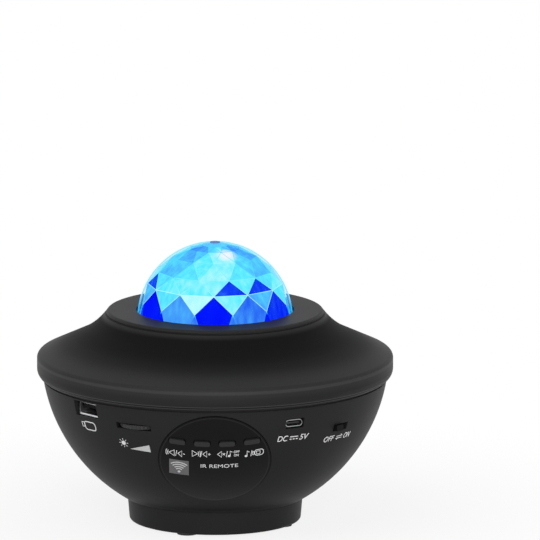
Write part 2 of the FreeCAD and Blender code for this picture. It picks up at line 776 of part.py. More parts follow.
def control_board():
    body = panel_body("control_board")
    top = -s.control_depth
    rod(body, 0, 0, s.control_radius, (top - s.board_thickness, top))
    for x, y in screw_places():
        pocket(body, Drawing(body, place=(0, 0, top)).circle(x, y, 0.8), 2)
    switches = panel_body("tact_switches")
    for x, y in button_places():
        block(switches, (x - 3, x + 3), (y - 1.8, y + 1.8), (top, top + 2.4))
        rod(switches, x, y, 0.9, (top + 2.4, top + 3.4))
    receiver = panel_body("ir_receiver")
    x, y = s.window_across, s.window_rise
    block(receiver, (x - 3, x + 3), (y - 3.5, y + 3.5), (top, top + 3.2))
    eye = rod(receiver, x, y, 2.2, (top + 3.2, top + 4.6))
    eye.Label = "receiver_eye"
    heads = (1.7, top - s.board_thickness - 1.2, top - s.board_thickness)
    shanks = (0.8, top - s.board_thickness, top + 4.5)
    screws("control_screws", screw_places(), heads, shanks, 1, panel_body("control_screws"))


# Sockets, dial and switch
def usb_a_socket():
    shell = side_body("usb_a_shell", s.socket_azimuth, s.socket_height)
    wide, tall, skin = s.socket_width, s.socket_tall, as_size(0.35)
    back, mouth = s.socket_back, s.socket_mouth
    drawing = Drawing(shell, place=(0, 0, back)).rounded(0, 0, wide, tall, 0.6)
    pad(shell, drawing, mouth - back)
    drawing = Drawing(shell, place=(0, 0, mouth - 0.4)).rounded(0, 0, wide + 0.9, tall + 0.9, 0.6)
    pad(shell, drawing, 0.4)
    drawing = Drawing(shell, place=(0, 0, mouth)).rounded(0, 0, wide - skin * 2, tall - skin * 2, 0.3)
    pocket(shell, drawing, mouth - back + 1)
    core = side_body("usb_a_tongue", s.socket_azimuth, s.socket_height)
    half, low = wide / 2, s.board_top - s.socket_height
    block(core, (-half, half), (low, tall / 2), (back - 1.5, back))
    block(core, (-half, half), (low, -tall / 2), (back, mouth - 1.5))
    plug = skin + 0.12
    block(core, (plug - half, half - plug), (plug - tall / 2, tall / 2 - plug), (back, back + 2.4))
    block(core, (-5.55, 5.55), (0.2, 2.0), (back + 2.4, mouth - 1.6))


def usb_power_inlet():
    shell = side_body("usb_power_shell", s.inlet_azimuth, s.inlet_height)
    wide, tall, skin = s.inlet_width, s.inlet_tall, as_size(0.3)
    back, mouth = s.inlet_back, s.inlet_mouth
    drawing = Drawing(shell, place=(0, 0, back)).rounded(0, 0, wide, tall, tall / 2)
    pad(shell, drawing, mouth - back)
    hollow = tall - skin * 2
    drawing = Drawing(shell, place=(0, 0, mouth)).rounded(0, 0, wide - skin * 2, hollow, hollow / 2)
    pocket(shell, drawing, mouth - back + 1)
    core = side_body("usb_power_tongue", s.inlet_azimuth, s.inlet_height)
    plug = hollow - 0.1
    drawing = Drawing(core, place=(0, 0, back)).rounded(0, 0, wide - skin * 2 - 0.1, plug, plug / 2)
    pad(core, drawing, 1.6)
    block(core, (-3.35, 3.35), (-0.35, 0.35), (back + 1.6, mouth - 1))


def brightness_dial():
    x, y = polar(s.dial_place, s.dial_azimuth)
    dial = new_body("brightness_dial", (x, y, s.dial_height), (s.dial_azimuth, 0, 0))
    half = s.dial_thickness / 2
    spin(
        dial,
        (s.running_gap + 1.45, -half),
        (s.dial_radius - 0.25, -half),
        (s.dial_radius, 0.25 - half),
        (s.dial_radius, half - 0.25),
        (s.dial_radius - 0.25, half),
        (s.running_gap + 1.45, half),
    )
    notch = Drawing(dial, place=(0, 0, half)).circle(0, -(s.dial_radius + 0.1), 0.45)
    ring_of(dial, pocket(dial, notch, s.dial_thickness + 0.5), 36)
    pot = new_body("dial_potentiometer", (x, y, 0), (s.dial_azimuth, 0, 0))
    block(pot, (-4.5, 4.5), (-4, 19), (board_low - 1.6, board_low))
    rod(pot, 0, 0, 4.4, (board_low - 5, board_low - 1.6))
    rod(pot, 0, 0, 1.45, (board_low, s.dial_height + half + 0.3))
    rod(pot, 0, 0, 2.4, (s.dial_height + half + 0.3, s.dial_height + half + 0.8))


def power_switch():
    rise = board_low - s.switch_height
    case = side_body("power_switch_body", s.switch_azimuth, s.switch_height)
    block(case, (-6.2, 6.2), (-2.2, rise), (64.4, 70.6))
    hollow = Drawing(case, place=(0, 0, 70.6))
    hollow.rectangle(as_size(0), as_size(0), s.switch_travel + 4.4, 2.2)
    pocket(case, hollow, 3)
    knob = side_body("power_switch_knob", s.switch_azimuth, s.switch_height)
    middle = -s.switch_travel / 2
    drawing = Drawing(knob, place=(0, 0, 73)).rounded(middle, 0, 4.6, 2.8, 0.5)
    pad(knob, drawing, 6.4)
    block(knob, (middle - 6, middle + 6), (-2.1, 1.9), (72.2, 73))
    block(knob, (middle - 1.7, middle + 1.7), (-0.7, 0.7), (68.4, 72.2))


# Boards
def main_board():
    body = new_body("main_board")
    rod(body, 0, 0, s.board_radius, (board_low, s.board_top))
    x, y = polar(s.dial_place, s.dial_azimuth)
    edge = s.dial_radius + 0.8
    notch = Drawing(body, place=(0, 0, s.board_top))
    notch.box(x - edge, as_size(-80), as_size(24), as_size(-57))
    pocket(body, notch, 3)
    pocket(body, Drawing(body, place=(0, 0, s.board_top)).circle(x, y, edge), 3)
    x, y = polar(s.pillar_ring, 22.5)
    hole = Drawing(body, place=(0, 0, s.board_top)).circle(x, y, 1.1)
    ring_of(body, pocket(body, hole, 3), 4)
    top = s.board_top
    screws("board_screws", [(x, y)], (2.2, top, top + 1.6), (1.1, board_low - 7, top))
    chips = new_body("board_chips")
    block(chips, (-9, 9), (-40, -30), (top, top + 1.6))
    block(chips, (30, 42), (-8, 4), (top, top + 1.8))
    block(chips, (-44, -26), (2, 17), (top, top + 2.4))
    cans = new_body("board_capacitors")
    for x, y in ((38, -22), (46, -14), (-40, -20), (28, 30)):
        rod(cans, x, y, 3.15, (top, top + 7))


# Optics
def optical_deck():
    body = new_body("optical_deck")
    low, high = s.deck_height, s.deck_height + 2
    spin(
        body, (12, low), (s.deck_radius - 1, low), (s.deck_radius, low + 1), (s.deck_radius, high), (12, high)
    )
    x, y = polar(s.deck_post_ring, 45)
    hole = Drawing(body, place=(0, 0, high)).circle(x, y, 1.1)
    ring_of(body, pocket(body, hole, 4), 4)
    vent = Drawing(body, place=(0, 0, high)).rounded(0, 46, 20, 5, 2.5)
    ring_of(body, pocket(body, vent, 4), 6)
    x, y = as_size(0), pinion_place
    motor = Drawing(body, place=(0, 0, high)).rectangle(x, y, 12, 10)
    pocket(body, motor, 4)
    x, y = polar(s.laser_place, s.laser_azimuth)
    pocket(body, Drawing(body, place=(0, 0, high)).circle(x, y, s.laser_radius), 4)
    x, y = polar(26, 0)
    tower_hole = Drawing(body, place=(0, 0, high)).circle(x, y, 0.9)
    ring_of(body, pocket(body, tower_hole, 4), 3)
    x, y = polar(s.deck_post_ring, 45)
    screws("deck_screws", [(x, y)], (2.2, low - 1.6, low), (1.1, low, high + 6))


def light_engine():
    low, high = s.deck_height, s.deck_height + 2
    sink = new_body("heat_sink")
    rod(sink, 0, 0, 17, (low - 10, low))
    rod(sink, 0, 0, 11.9, (low, high))
    gap = Drawing(sink, place=(0, 0, low - 10))
    gap.box(as_size(-14.6), as_size(-20), as_size(-11.8), as_size(20))
    row_of(sink, pocket(sink, gap, 7.5, Reversed=True), "X_Axis", 26.4, 7)
    board = new_body("led_board")
    rod(board, 0, 0, 10.5, (high, high + s.board_thickness))
    chips = new_body("led_chips")
    top = high + s.board_thickness
    for x in (-2.4, 2.4):
        for y in (-2.4, 2.4):
            block(chips, (x - 1.75, x + 1.75), (y - 1.75, y + 1.75), (top, top + 1.2))
    tower = new_body("lens_tower")
    shelf = s.gear_low - 3.5
    spin(
        tower,
        (19, high),
        (27.8, high),
        (27.8, high + 1.8),
        (s.tower_radius, high + 1.8),
        (s.tower_radius, shelf),
        (27, shelf),
        (27, shelf + 1.2),
        (s.tower_radius, shelf + 1.2),
        (s.tower_radius, s.gear_low + 1),
        (21.5, s.gear_low + 1),
        (21.5, shelf),
        (19, shelf),
    )
    x, y = polar(26, 0)
    hole = Drawing(tower, place=(0, 0, high)).circle(x, y, 0.9)
    ring_of(tower, pocket(tower, hole, 3, Reversed=True), 3)
    screws("tower_screws", [(x, y)], (1.35, high + 1.8, high + 3), (0.9, low, high + 1.8), 3)
    lens = new_body("led_lens")
    spin(lens, (0, shelf), (21.4, shelf), (21.4, shelf + 1.4), (0, shelf + 5.2, crown(21.4, 3.8)))


def gear_outline(teeth, backlash, addendum, dedendum, turned):
    """Involute teeth round a wheel, as the corners of one closed outline."""
    module = s.gear_module.number
    pitch_radius = module * teeth / 2
    base = pitch_radius * math.cos(math.radians(20))
    tip, foot = pitch_radius + addendum, pitch_radius - dedendum

    def spread(radius):
        """The involute's polar angle at a radius."""
        if radius <= base:
            return 0.0
        slope = math.acos(base / radius)
        return math.tan(slope) - slope

    half = math.pi / (2 * teeth) - backlash / (2 * pitch_radius) + spread(pitch_radius)
    steps = [foot] + [max(foot, base) + (tip - max(foot, base)) * k / 3 for k in range(4)]
    steps = [radius for index, radius in enumerate(steps) if index == 0 or radius > foot + 0.01]
    points = []
    for tooth in range(teeth):
        middle = turned + 2 * math.pi * tooth / teeth
        flank = [(radius, half - spread(radius)) for radius in steps]
        for radius, angle in flank:
            points.append((radius, middle - angle))
        for radius, angle in reversed(flank):
            points.append((radius, middle + angle))
    return [FreeCAD.Vector(r * math.cos(a), r * math.sin(a), 0) for r, a in points]


def toothed_rim(label, outline, length):
    """A solid of the given height with the given outline."""
    face = Part.Face(Part.makePolygon(outline + [outline[0]]))
    rim = doc.addObject("Part::Feature", label)
    rim.Shape = face.extrude(FreeCAD.Vector(0, 0, length.number))
    return rim


def ripple_drive():
    teeth, pinion = int(s.wheel_teeth.number), int(s.pinion_teeth.number)
    quarter = math.pi / 2
    outline = gear_outline(teeth, 0.3, 0.6, 0.95, quarter + math.pi / teeth)
    rim = toothed_rim("wheel_teeth", outline, s.gear_face)
    rim.setExpression("Placement", placement((0, 0, s.gear_low), (0, 0, 0)))
    skirt = new_body("wheel_skirt", kept=False)
    low, high = s.gear_low - 2, s.gear_low + s.gear_face + 1
    spin(skirt, (20, low), (27.2, low), (27.2, high), (20, high))
    joined = doc.addObject("Part::Fuse", "wheel_blank")
    joined.Base, joined.Tool = rim, skirt
    bore = new_body("wheel_bore", kept=False)
    running = s.tower_radius + s.running_gap
    seat = s.gear_low + 2.5
    spin(bore, (0, low - 1), (running, low - 1), (running, seat), (26, seat), (26, high + 1), (0, high + 1))
    wheel = doc.addObject("Part::Cut", "ripple_gear")
    wheel.Label = "ripple_gear"
    wheel.Base, wheel.Tool = joined, bore
    pieces.append(wheel)
    lens = new_body("ripple_lens")
    spin(lens, (0, seat), (25.95, seat), (25.95, seat + 2), (0, seat + 2))
    dimple = Drawing(lens, "XZ_Plane").circle(8, seat + 4.6, 3)
    add(lens, "Groove", dimple, ReferenceAxis=(dimple.sketch, ["V_Axis"]), Angle=360)
    dimple = Drawing(lens, "XZ_Plane").circle(16, seat + 4.6, 3)
    add(lens, "Groove", dimple, ReferenceAxis=(dimple.sketch, ["V_Axis"]), Angle=360)
    small = toothed_rim("pinion_teeth", gear_outline(pinion, 0.3, 0.75, 0.9, -quarter), s.gear_face + 0.6)
    small.setExpression("Placement", placement((0, pinion_place, s.gear_low - 0.3), (0, 0, 0)))
    hole = doc.addObject("Part::Cylinder", "pinion_bore")
    hole.Radius, hole.Height = 1.5, 10
    hole.setExpression("Placement", placement((0, pinion_place, s.gear_low - 3), (0, 0, 0)))
    wheel = doc.addObject("Part::Cut", "drive_pinion")
    wheel.Label = "drive_pinion"
    wheel.Base, wheel.Tool = small, hole
    pieces.append(wheel)


def gear_motor():
    place = (0, pinion_place, 0)
    top = s.gear_low - 1.1
    motor = new_body("gear_motor", place)
    block(motor, (-6, 6), (-5, 5), (top - 9, top))
    drawing = Drawing(motor, place=(0, 0, top - 9)).rounded(0, 0, 12, 10, 3)
    pad(motor, drawing, 15, Reversed=True)
    rod(motor, 0, 0, 2.4, (top - 25, top - 24))
    bore = Drawing(motor, place=(0, 0, top)).circle(0, 0, s.running_gap + 1.5)
    pocket(motor, bore, 3)
    shaft = new_body("motor_shaft", place)
    rod(shaft, 0, 0, 1.5, (top - 2.6, s.gear_low + s.gear_face + 0.8))
    bracket = new_body("motor_bracket", place)
    high = s.deck_height + 2
    block(bracket, (-7.6, 7.6), (-5.6, 7), (high, high + 4.4))
    block(bracket, (-12, 12), (-3, 5), (high, high + 1.6))
    pocket(bracket, Drawing(bracket, place=(0, 0, high + 6)).rectangle(as_size(0), as_size(0), 12, 10), 8)


def laser():
    x, y = polar(s.laser_place, s.laser_azimuth)
    angles = (s.laser_azimuth, 0, 0)
    high = s.deck_height + 2
    module = new_body("laser_module", (x, y, 0), angles)
    rod(module, 0, 0, s.laser_radius, (high - 4, high + 12))
    tip = rod(module, 0, 0, 2.6, (high + 12, high + 13))
    tip.Label = "laser_collar"
    grating = new_body("laser_grating", (x, y, 0), angles)
    rod(grating, 0, 0, 2.9, (high + 13, high + 13.8))
    holder = new_body("laser_holder", (x, y, 0), angles)
    drawing = Drawing(holder, place=(0, 0, high)).rounded(0, -0.6, 11, 8.4, 2)
    pad(holder, drawing, 6)
    pocket(holder, Drawing(holder, place=(0, 0, high + 7)).circle(0, 0, s.laser_radius), 8)


# Loudspeaker
def speaker():
    r, z = s.speaker_radius, s.speaker_low
    gasket = new_body("speaker_gasket")
    spin(gasket, (17.3, z - 0.6), (r, z - 0.6), (r, z), (17.3, z))
    frame = new_body("speaker_frame")
    spin(
        frame,
        (17, z),
        (r, z),
        (r, z + 1.2),
        (18.3, z + 1.2),
        (13.2, z + 9),
        (7.3, z + 9),
        (7.3, z + 7.8),
        (12.4, z + 7.8),
        (17, z + 1),
    )
    window = Drawing(frame, "XZ_Plane").box(as_size(-3), z + 2.6, as_size(3), z + 6.4)
    ring_of(frame, pocket(frame, window, 25, Reversed=True), 6)
    magnet = new_body("speaker_magnet")
    spin(magnet, (7.8, z + 9), (13.5, z + 9), (13.5, z + 13.4), (7.8, z + 13.4))
    yoke = new_body("speaker_yoke")
    spin(yoke, (0, z + 7.8), (5.7, z + 7.8), (5.7, z + 13.4), (13, z + 13.4), (13, z + 15), (0, z + 15))
    cone = new_body("speaker_cone")
    spin(
        cone,
        (0, z + 4),
        (6.2, z + 5.3, crown(6.2, 1.3)),
        (14.6, z + 1.1),
        (14.6, z + 1.6),
        (6.75, z + 6),
        (6.15, z + 6),
        (6.15, z + 5.8),
        (0, z + 4.5, -crown(6.15, 1.3)),
    )
    coil = new_body("voice_coil")
    spin(coil, (6.15, z + 6), (6.75, z + 6), (6.75, z + 11.4), (6.15, z + 11.4))
    surround = new_body("speaker_surround")
    spin(
        surround,
        (14.6, z + 0.7),
        (14.6, z + 1.1),
        (15.0, z + 1.1),
        (16.6, z + 1.0, -1.0),
        (17.0, z + 1.0),
        (17.0, z + 0.7),
        (16.4, z + 0.7),
        (15.2, z + 0.7, 0.9),
    )


def base_screws():
    x, y = polar(s.foot_ring, 67.5)
    screws("base_screws", [(x, y)], (2.8, 5.6, 7.5), (1.4, 7.5, s.bowl_bottom + s.wall + 5.5))


def build():
    upper_cover()
    lower_housing()
    base_cup()
    rubber_feet()
    base_screws()
    dome_lens()
    dome_retaining_ring()
    control_panel()
    for label, (x, y) in zip(("previous", "next", "mute", "mode"), button_places()):
        button("button_" + label, x, y)
    ir_window()
    control_board()
    usb_a_socket()
    usb_power_inlet()
    brightness_dial()
    power_switch()
    main_board()
    optical_deck()
    light_engine()
    ripple_drive()
    gear_motor()
    laser()
    speaker()


def check_features():
    """Stop at failed features, and at cuts or additions that changed nothing."""
    faults = []
    for item in doc.Objects:
        owner = item.getParent().Label if item.getParent() else "document"
        if "Invalid" in item.State or "Error" in item.State:
            faults.append("%s in %s failed" % (item.Name, owner))
            continue
        base = getattr(item, "BaseFeature", None)
        if not item.TypeId.startswith("PartDesign::") or base is None:
            continue
        change = item.Shape.Volume - base.Shape.Volume
        if item.Name.startswith(("Pocket", "Groove")) and change > -1e-4:
            faults.append("%s in %s cuts nothing" % (item.Name, owner))
        if item.Name.startswith("Pad") and change < 1e-4:
            faults.append("%s in %s adds nothing" % (item.Name, owner))
    if faults:
        raise RuntimeError("; ".join(faults))


def write_pieces():
    os.makedirs("parts", exist_ok=True)
    for piece in pieces:
        shape = piece.Shape
        if shape.isNull() or not shape.isValid():
            raise RuntimeError("%s has no valid shape" % piece.Label)
        shape.exportStep("parts/%s.step" % piece.Label)
        print("%-22s %d solids, %.0f cubic mm" % (piece.Label, len(shape.Solids), shape.Volume))


build()
doc.recompute()
check_features()
write_pieces()
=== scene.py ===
import math

import bmesh
import bpy
from bpy.props import FloatProperty, FloatVectorProperty, PointerProperty
from bpy.types import Operator, Panel, PropertyGroup
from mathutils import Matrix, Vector


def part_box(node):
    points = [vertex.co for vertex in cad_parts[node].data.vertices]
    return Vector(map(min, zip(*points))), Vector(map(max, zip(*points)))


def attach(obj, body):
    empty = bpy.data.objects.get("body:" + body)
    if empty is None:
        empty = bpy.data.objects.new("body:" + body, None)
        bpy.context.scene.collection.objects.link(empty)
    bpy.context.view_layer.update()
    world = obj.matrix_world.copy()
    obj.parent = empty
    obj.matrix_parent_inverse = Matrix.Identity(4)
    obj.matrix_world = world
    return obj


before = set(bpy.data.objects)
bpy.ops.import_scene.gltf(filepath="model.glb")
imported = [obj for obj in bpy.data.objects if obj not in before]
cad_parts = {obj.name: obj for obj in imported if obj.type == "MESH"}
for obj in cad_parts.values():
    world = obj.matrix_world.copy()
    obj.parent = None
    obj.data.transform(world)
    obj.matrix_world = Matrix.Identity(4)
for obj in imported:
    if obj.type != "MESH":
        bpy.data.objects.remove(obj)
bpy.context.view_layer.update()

bl_info = {
    "name": "Star night light projector",
    "version": (1, 0, 0),
    "blender": (4, 5, 0),
    "location": "3D View > Sidebar > Projector",
    "description": "Finishes, lit dome and printed marks of a star night light projector",
    "category": "Object",
}

MM = 0.001
WHITE = (1.0, 1.0, 1.0, 1.0)
BLACK = (0.0, 0.0, 0.0, 1.0)
NEAR_BLACK = (0.001, 0.001, 0.001, 1.0)

# Which CAD nodes wear which finish
FINISHES = {
    "housing": ("upper_cover", "lower_housing", "base_cup"),
    "panel": ("control_panel",),
    "keys": ("button_previous", "button_next", "button_mute", "button_mode"),
    "dial": ("brightness_dial",),
    "knob": ("power_switch_knob", "usb_a_tongue"),
    "window": ("ir_window",),
    "dome": ("dome_lens",),
    "rubber": ("rubber_feet",),
    "inner_black": (
        "dome_retaining_ring",
        "lens_tower",
        "laser_holder",
        "power_switch_body",
        "dial_potentiometer",
        "usb_power_tongue",
        "ir_receiver",
        "tact_switches",
    ),
    "deck": ("optical_deck",),
    "steel": (
        "base_screws",
        "ring_screws",
        "control_screws",
        "board_screws",
        "deck_screws",
        "tower_screws",
        "motor_shaft",
        "motor_bracket",
        "speaker_frame",
        "speaker_yoke",
    ),
    "socket_metal": ("usb_a_shell",),
    "inlet_metal": ("usb_power_shell",),
    "motor": ("gear_motor",),
    "board": ("main_board", "control_board"),
    "chips": ("board_chips",),
    "cans": ("board_capacitors",),
    "sink": ("heat_sink",),
    "led_board": ("led_board",),
    "led": ("led_chips",),
    "lens": ("led_lens", "ripple_lens", "laser_grating"),
    "gears": ("ripple_gear", "drive_pinion"),
    "brass": ("laser_module",),
    "ferrite": ("speaker_magnet",),
    "cone": ("speaker_cone", "speaker_surround"),
    "gasket": ("speaker_gasket",),
    "copper": ("voice_coil",),
}

# The bowl's curve, the housing's edges and the control panel, in millimetres as the CAD has them
BOWL_OFFSET = 1.5
BOWL_CENTRE = 81.7
BOWL_CURVE = 80.65
LIP_HEIGHT = 70.85
RIM_TOP = 78.1
COLLAR_STEP_HEIGHT = 99.55
COLLAR_STEP_RADIUS = 50.9
PANEL_TILT = math.radians(29.7)
PANEL_PLACE = Vector((0, -71.55, 41.74))
PANEL_OUT = Vector((0, -math.cos(PANEL_TILT), -math.sin(PANEL_TILT)))
PANEL_UP = Vector((0, -math.sin(PANEL_TILT), math.cos(PANEL_TILT)))
PANEL_CURVE = 81.5
PANEL_PROUD = 0.2
PANEL_BEVEL_RADIUS = 25.75
PANEL_GAP_RADIUS = 26.9

# The dome's top and its inner facets: twelve in a row, corners on rings given by latitude and shift
DOME_CENTRE = 96.9
DOME_CORNER = 36.05
DOME_BOTTOM = 0.3
DOME_TOP = 133.0
DOME_TWIST = -0.9
FACETS_ROUND = 12
FOOT_HALF_ANGLE = 9.5
VALLEYS = (13.6, 0.5)
PEAKS = (28.0, 0.0)
UPPER_RINGS = ((40.7, 0.5), (57.0, 0.0), (71.0, 0.5), (80.0, 0.0))

# How bright each row of facets is: the middle, the swing, the swings in a round and the azimuth of a full one
ROW_LIGHT = {
    "pentagon": (0.26, -0.22, 5, 3.0),
    "foot": (0.24, 0.24, 3, 0.0),
    "point": (0.76, 0.2, 3, -12.0),
    "peak0": (0.52, 0.38, 3, -31.0),
    "fall0": (0.77, 0.05, 3, 0.0),
    "peak1": (0.72, 0.13, 3, 0.0),
    "fall1": (0.71, 0.13, 3, 3.0),
    "peak2": (0.70, 0.20, 3, 6.0),
    "fall2": (0.70, 0.18, 3, 6.0),
    "peak3": (0.58, 0.12, 3, 8.0),
    "fall3": (0.63, 0.12, 3, 8.0),
    "table": (0.62, 0.0, 1, 0.0),
}


# Properties
class HousingLook(PropertyGroup):
    """Colours and grain of the moulded parts."""

    shell_colour: FloatVectorProperty(
        name="Shell colour",
        description="Colour of the housing's soft black plastic",
        subtype="COLOR",
        size=4,
        default=(0.0145, 0.0145, 0.0148, 1),
    )
    panel_colour: FloatVectorProperty(
        name="Panel colour",
        description="Colour of the satin control panel",
        subtype="COLOR",
        size=4,
        default=(0.0028, 0.0028, 0.003, 1),
    )
    key_colour: FloatVectorProperty(
        name="Key colour",
        description="Colour of the push buttons",
        subtype="COLOR",
        size=4,
        default=(0.009, 0.009, 0.0095, 1),
    )
    window_colour: FloatVectorProperty(
        name="Window colour",
        description="Colour of the receiver's window",
        subtype="COLOR",
        size=4,
        default=(0.075, 0.075, 0.078, 1),
    )
    shell_roughness: FloatProperty(
        name="Shell roughness",
        description="Roughness of the housing",
        default=0.5,
        min=0,
        max=1,
    )
    grain_depth: FloatProperty(
        name="Grain depth",
        description="Depth of the grain moulded into the housing",
        subtype="DISTANCE",
        default=0.012 * MM,
        min=0,
    )


class DomeLook(PropertyGroup):
    """Colours of the lit dome, from its darkest facets to its palest, and the film that shows them."""

    deep: FloatVectorProperty(
        name="Deep blue",
        description="Colour of the darkest facets",
        subtype="COLOR",
        size=4,
        default=(0.0, 0.001, 0.94, 1),
    )
    royal: FloatVectorProperty(
        name="Royal blue",
        description="Colour of the dark facets",
        subtype="COLOR",
        size=4,
        default=(0.006, 0.05, 0.86, 1),
    )
    azure: FloatVectorProperty(
        name="Azure",
        description="Colour of the middling facets",
        subtype="COLOR",
        size=4,
        default=(0.06, 0.35, 0.94, 1),
    )
    cyan: FloatVectorProperty(
        name="Cyan",
        description="Colour of the bright facets",
        subtype="COLOR",
        size=4,
        default=(0.11, 0.83, 0.96, 1),
    )
    pale: FloatVectorProperty(
        name="Pale cyan",
        description="Colour of the palest facets",
        subtype="COLOR",
        size=4,
        default=(0.56, 0.97, 0.95, 1),
    )
    edge_width: FloatProperty(
        name="Edge width",
        description="Width of the bright line along the facets' edges, on each side",
        subtype="DISTANCE",
        default=0.14 * MM,
        min=0,
    )
    film_gap: FloatProperty(
        name="Film gap",
        description="Gap between the dome's facets and the lit film behind them",
        subtype="DISTANCE",
        default=0.08 * MM,
        min=0,
    )
    film_thickness: FloatProperty(
        name="Film thickness",
        description="Thickness of the lit film",
        subtype="DISTANCE",
        default=0.25 * MM,
        min=0,
    )


class PrintLook(PropertyGroup):
    """Ink of the printed marks."""

    ink: FloatVectorProperty(
        name="Ink",
        description="Colour of the printed marks",
        subtype="COLOR",
        size=4,
        default=(0.72, 0.72, 0.72, 1),
    )
    window_ink: FloatVectorProperty(
        name="Window ink",
        description="Colour of the arcs on the receiver's window and of the wedge by the dial",
        subtype="COLOR",
        size=4,
        default=(0.5, 0.5, 0.5, 1),
    )
    lift: FloatProperty(
        name="Lift",
        description="How far the ink stands out of the surface",
        subtype="DISTANCE",
        default=0.06 * MM,
        min=0,
    )
    thickness: FloatProperty(
        name="Thickness",
        description="Thickness of the ink, the part in the surface's grain included",
        subtype="DISTANCE",
        default=0.15 * MM,
        min=0,
    )
    step: FloatProperty(
        name="Cut step",
        description="Spacing of the cuts that let a print follow the surface",
        subtype="DISTANCE",
        default=1.2 * MM,
        min=0.1 * MM,
    )


class StageLook(PropertyGroup):
    """Camera, floor and lamps."""

    camera_distance: FloatProperty(
        name="Camera distance",
        description="Distance of the camera from the point that it looks at",
        subtype="DISTANCE",
        default=8.0,
    )
    camera_elevation: FloatProperty(
        name="Camera elevation",
        description="Angle of the camera above the horizon",
        subtype="ANGLE",
        default=math.radians(11.5),
    )
    camera_lens: FloatProperty(
        name="Lens",
        description="Focal length in millimetres on a 36 millimetre sensor",
        default=1132.0,
    )
    aim: FloatVectorProperty(
        name="Aim",
        description="Point in the middle of the picture",
        subtype="TRANSLATION",
        size=3,
        default=(0.0259, 0.0, 0.1202),
    )
    floor_colour: FloatVectorProperty(
        name="Floor colour",
        description="Colour of the floor",
        subtype="COLOR",
        size=4,
        default=(0.9, 0.9, 0.9, 1),
    )
    daylight: FloatProperty(
        name="Daylight",
        description="Strength of the light from all round",
        default=0.42,
        min=0,
    )


# Shader graphs
class Socket:
    """A shader socket that adds a Math node when Python works with it."""

    def __init__(self, graph, end):
        self.graph = graph
        self.end = end

    def __add__(self, other):
        return self.graph.maths("ADD", self, other)

    def __radd__(self, other):
        return self.graph.maths("ADD", other, self)

    def __sub__(self, other):
        return self.graph.maths("SUBTRACT", self, other)

    def __rsub__(self, other):
        return self.graph.maths("SUBTRACT", other, self)

    def __mul__(self, other):
        return self.graph.maths("MULTIPLY", self, other)

    def __rmul__(self, other):
        return self.graph.maths("MULTIPLY", other, self)

    def rise(self, low, high):
        """From 0 at the low value to 1 at the high one, with soft ends."""
        values = {"Value": self, "From Min": low, "From Max": high}
        return self.graph.node("ShaderNodeMapRange", {"interpolation_type": "SMOOTHSTEP"}, values)

    def band(self, middle, half, soft):
        """1 within a half width of the middle value, falling to 0 over the soft distance."""
        return 1 - self.graph.maths("ABSOLUTE", self - middle).rise(half, half + soft)


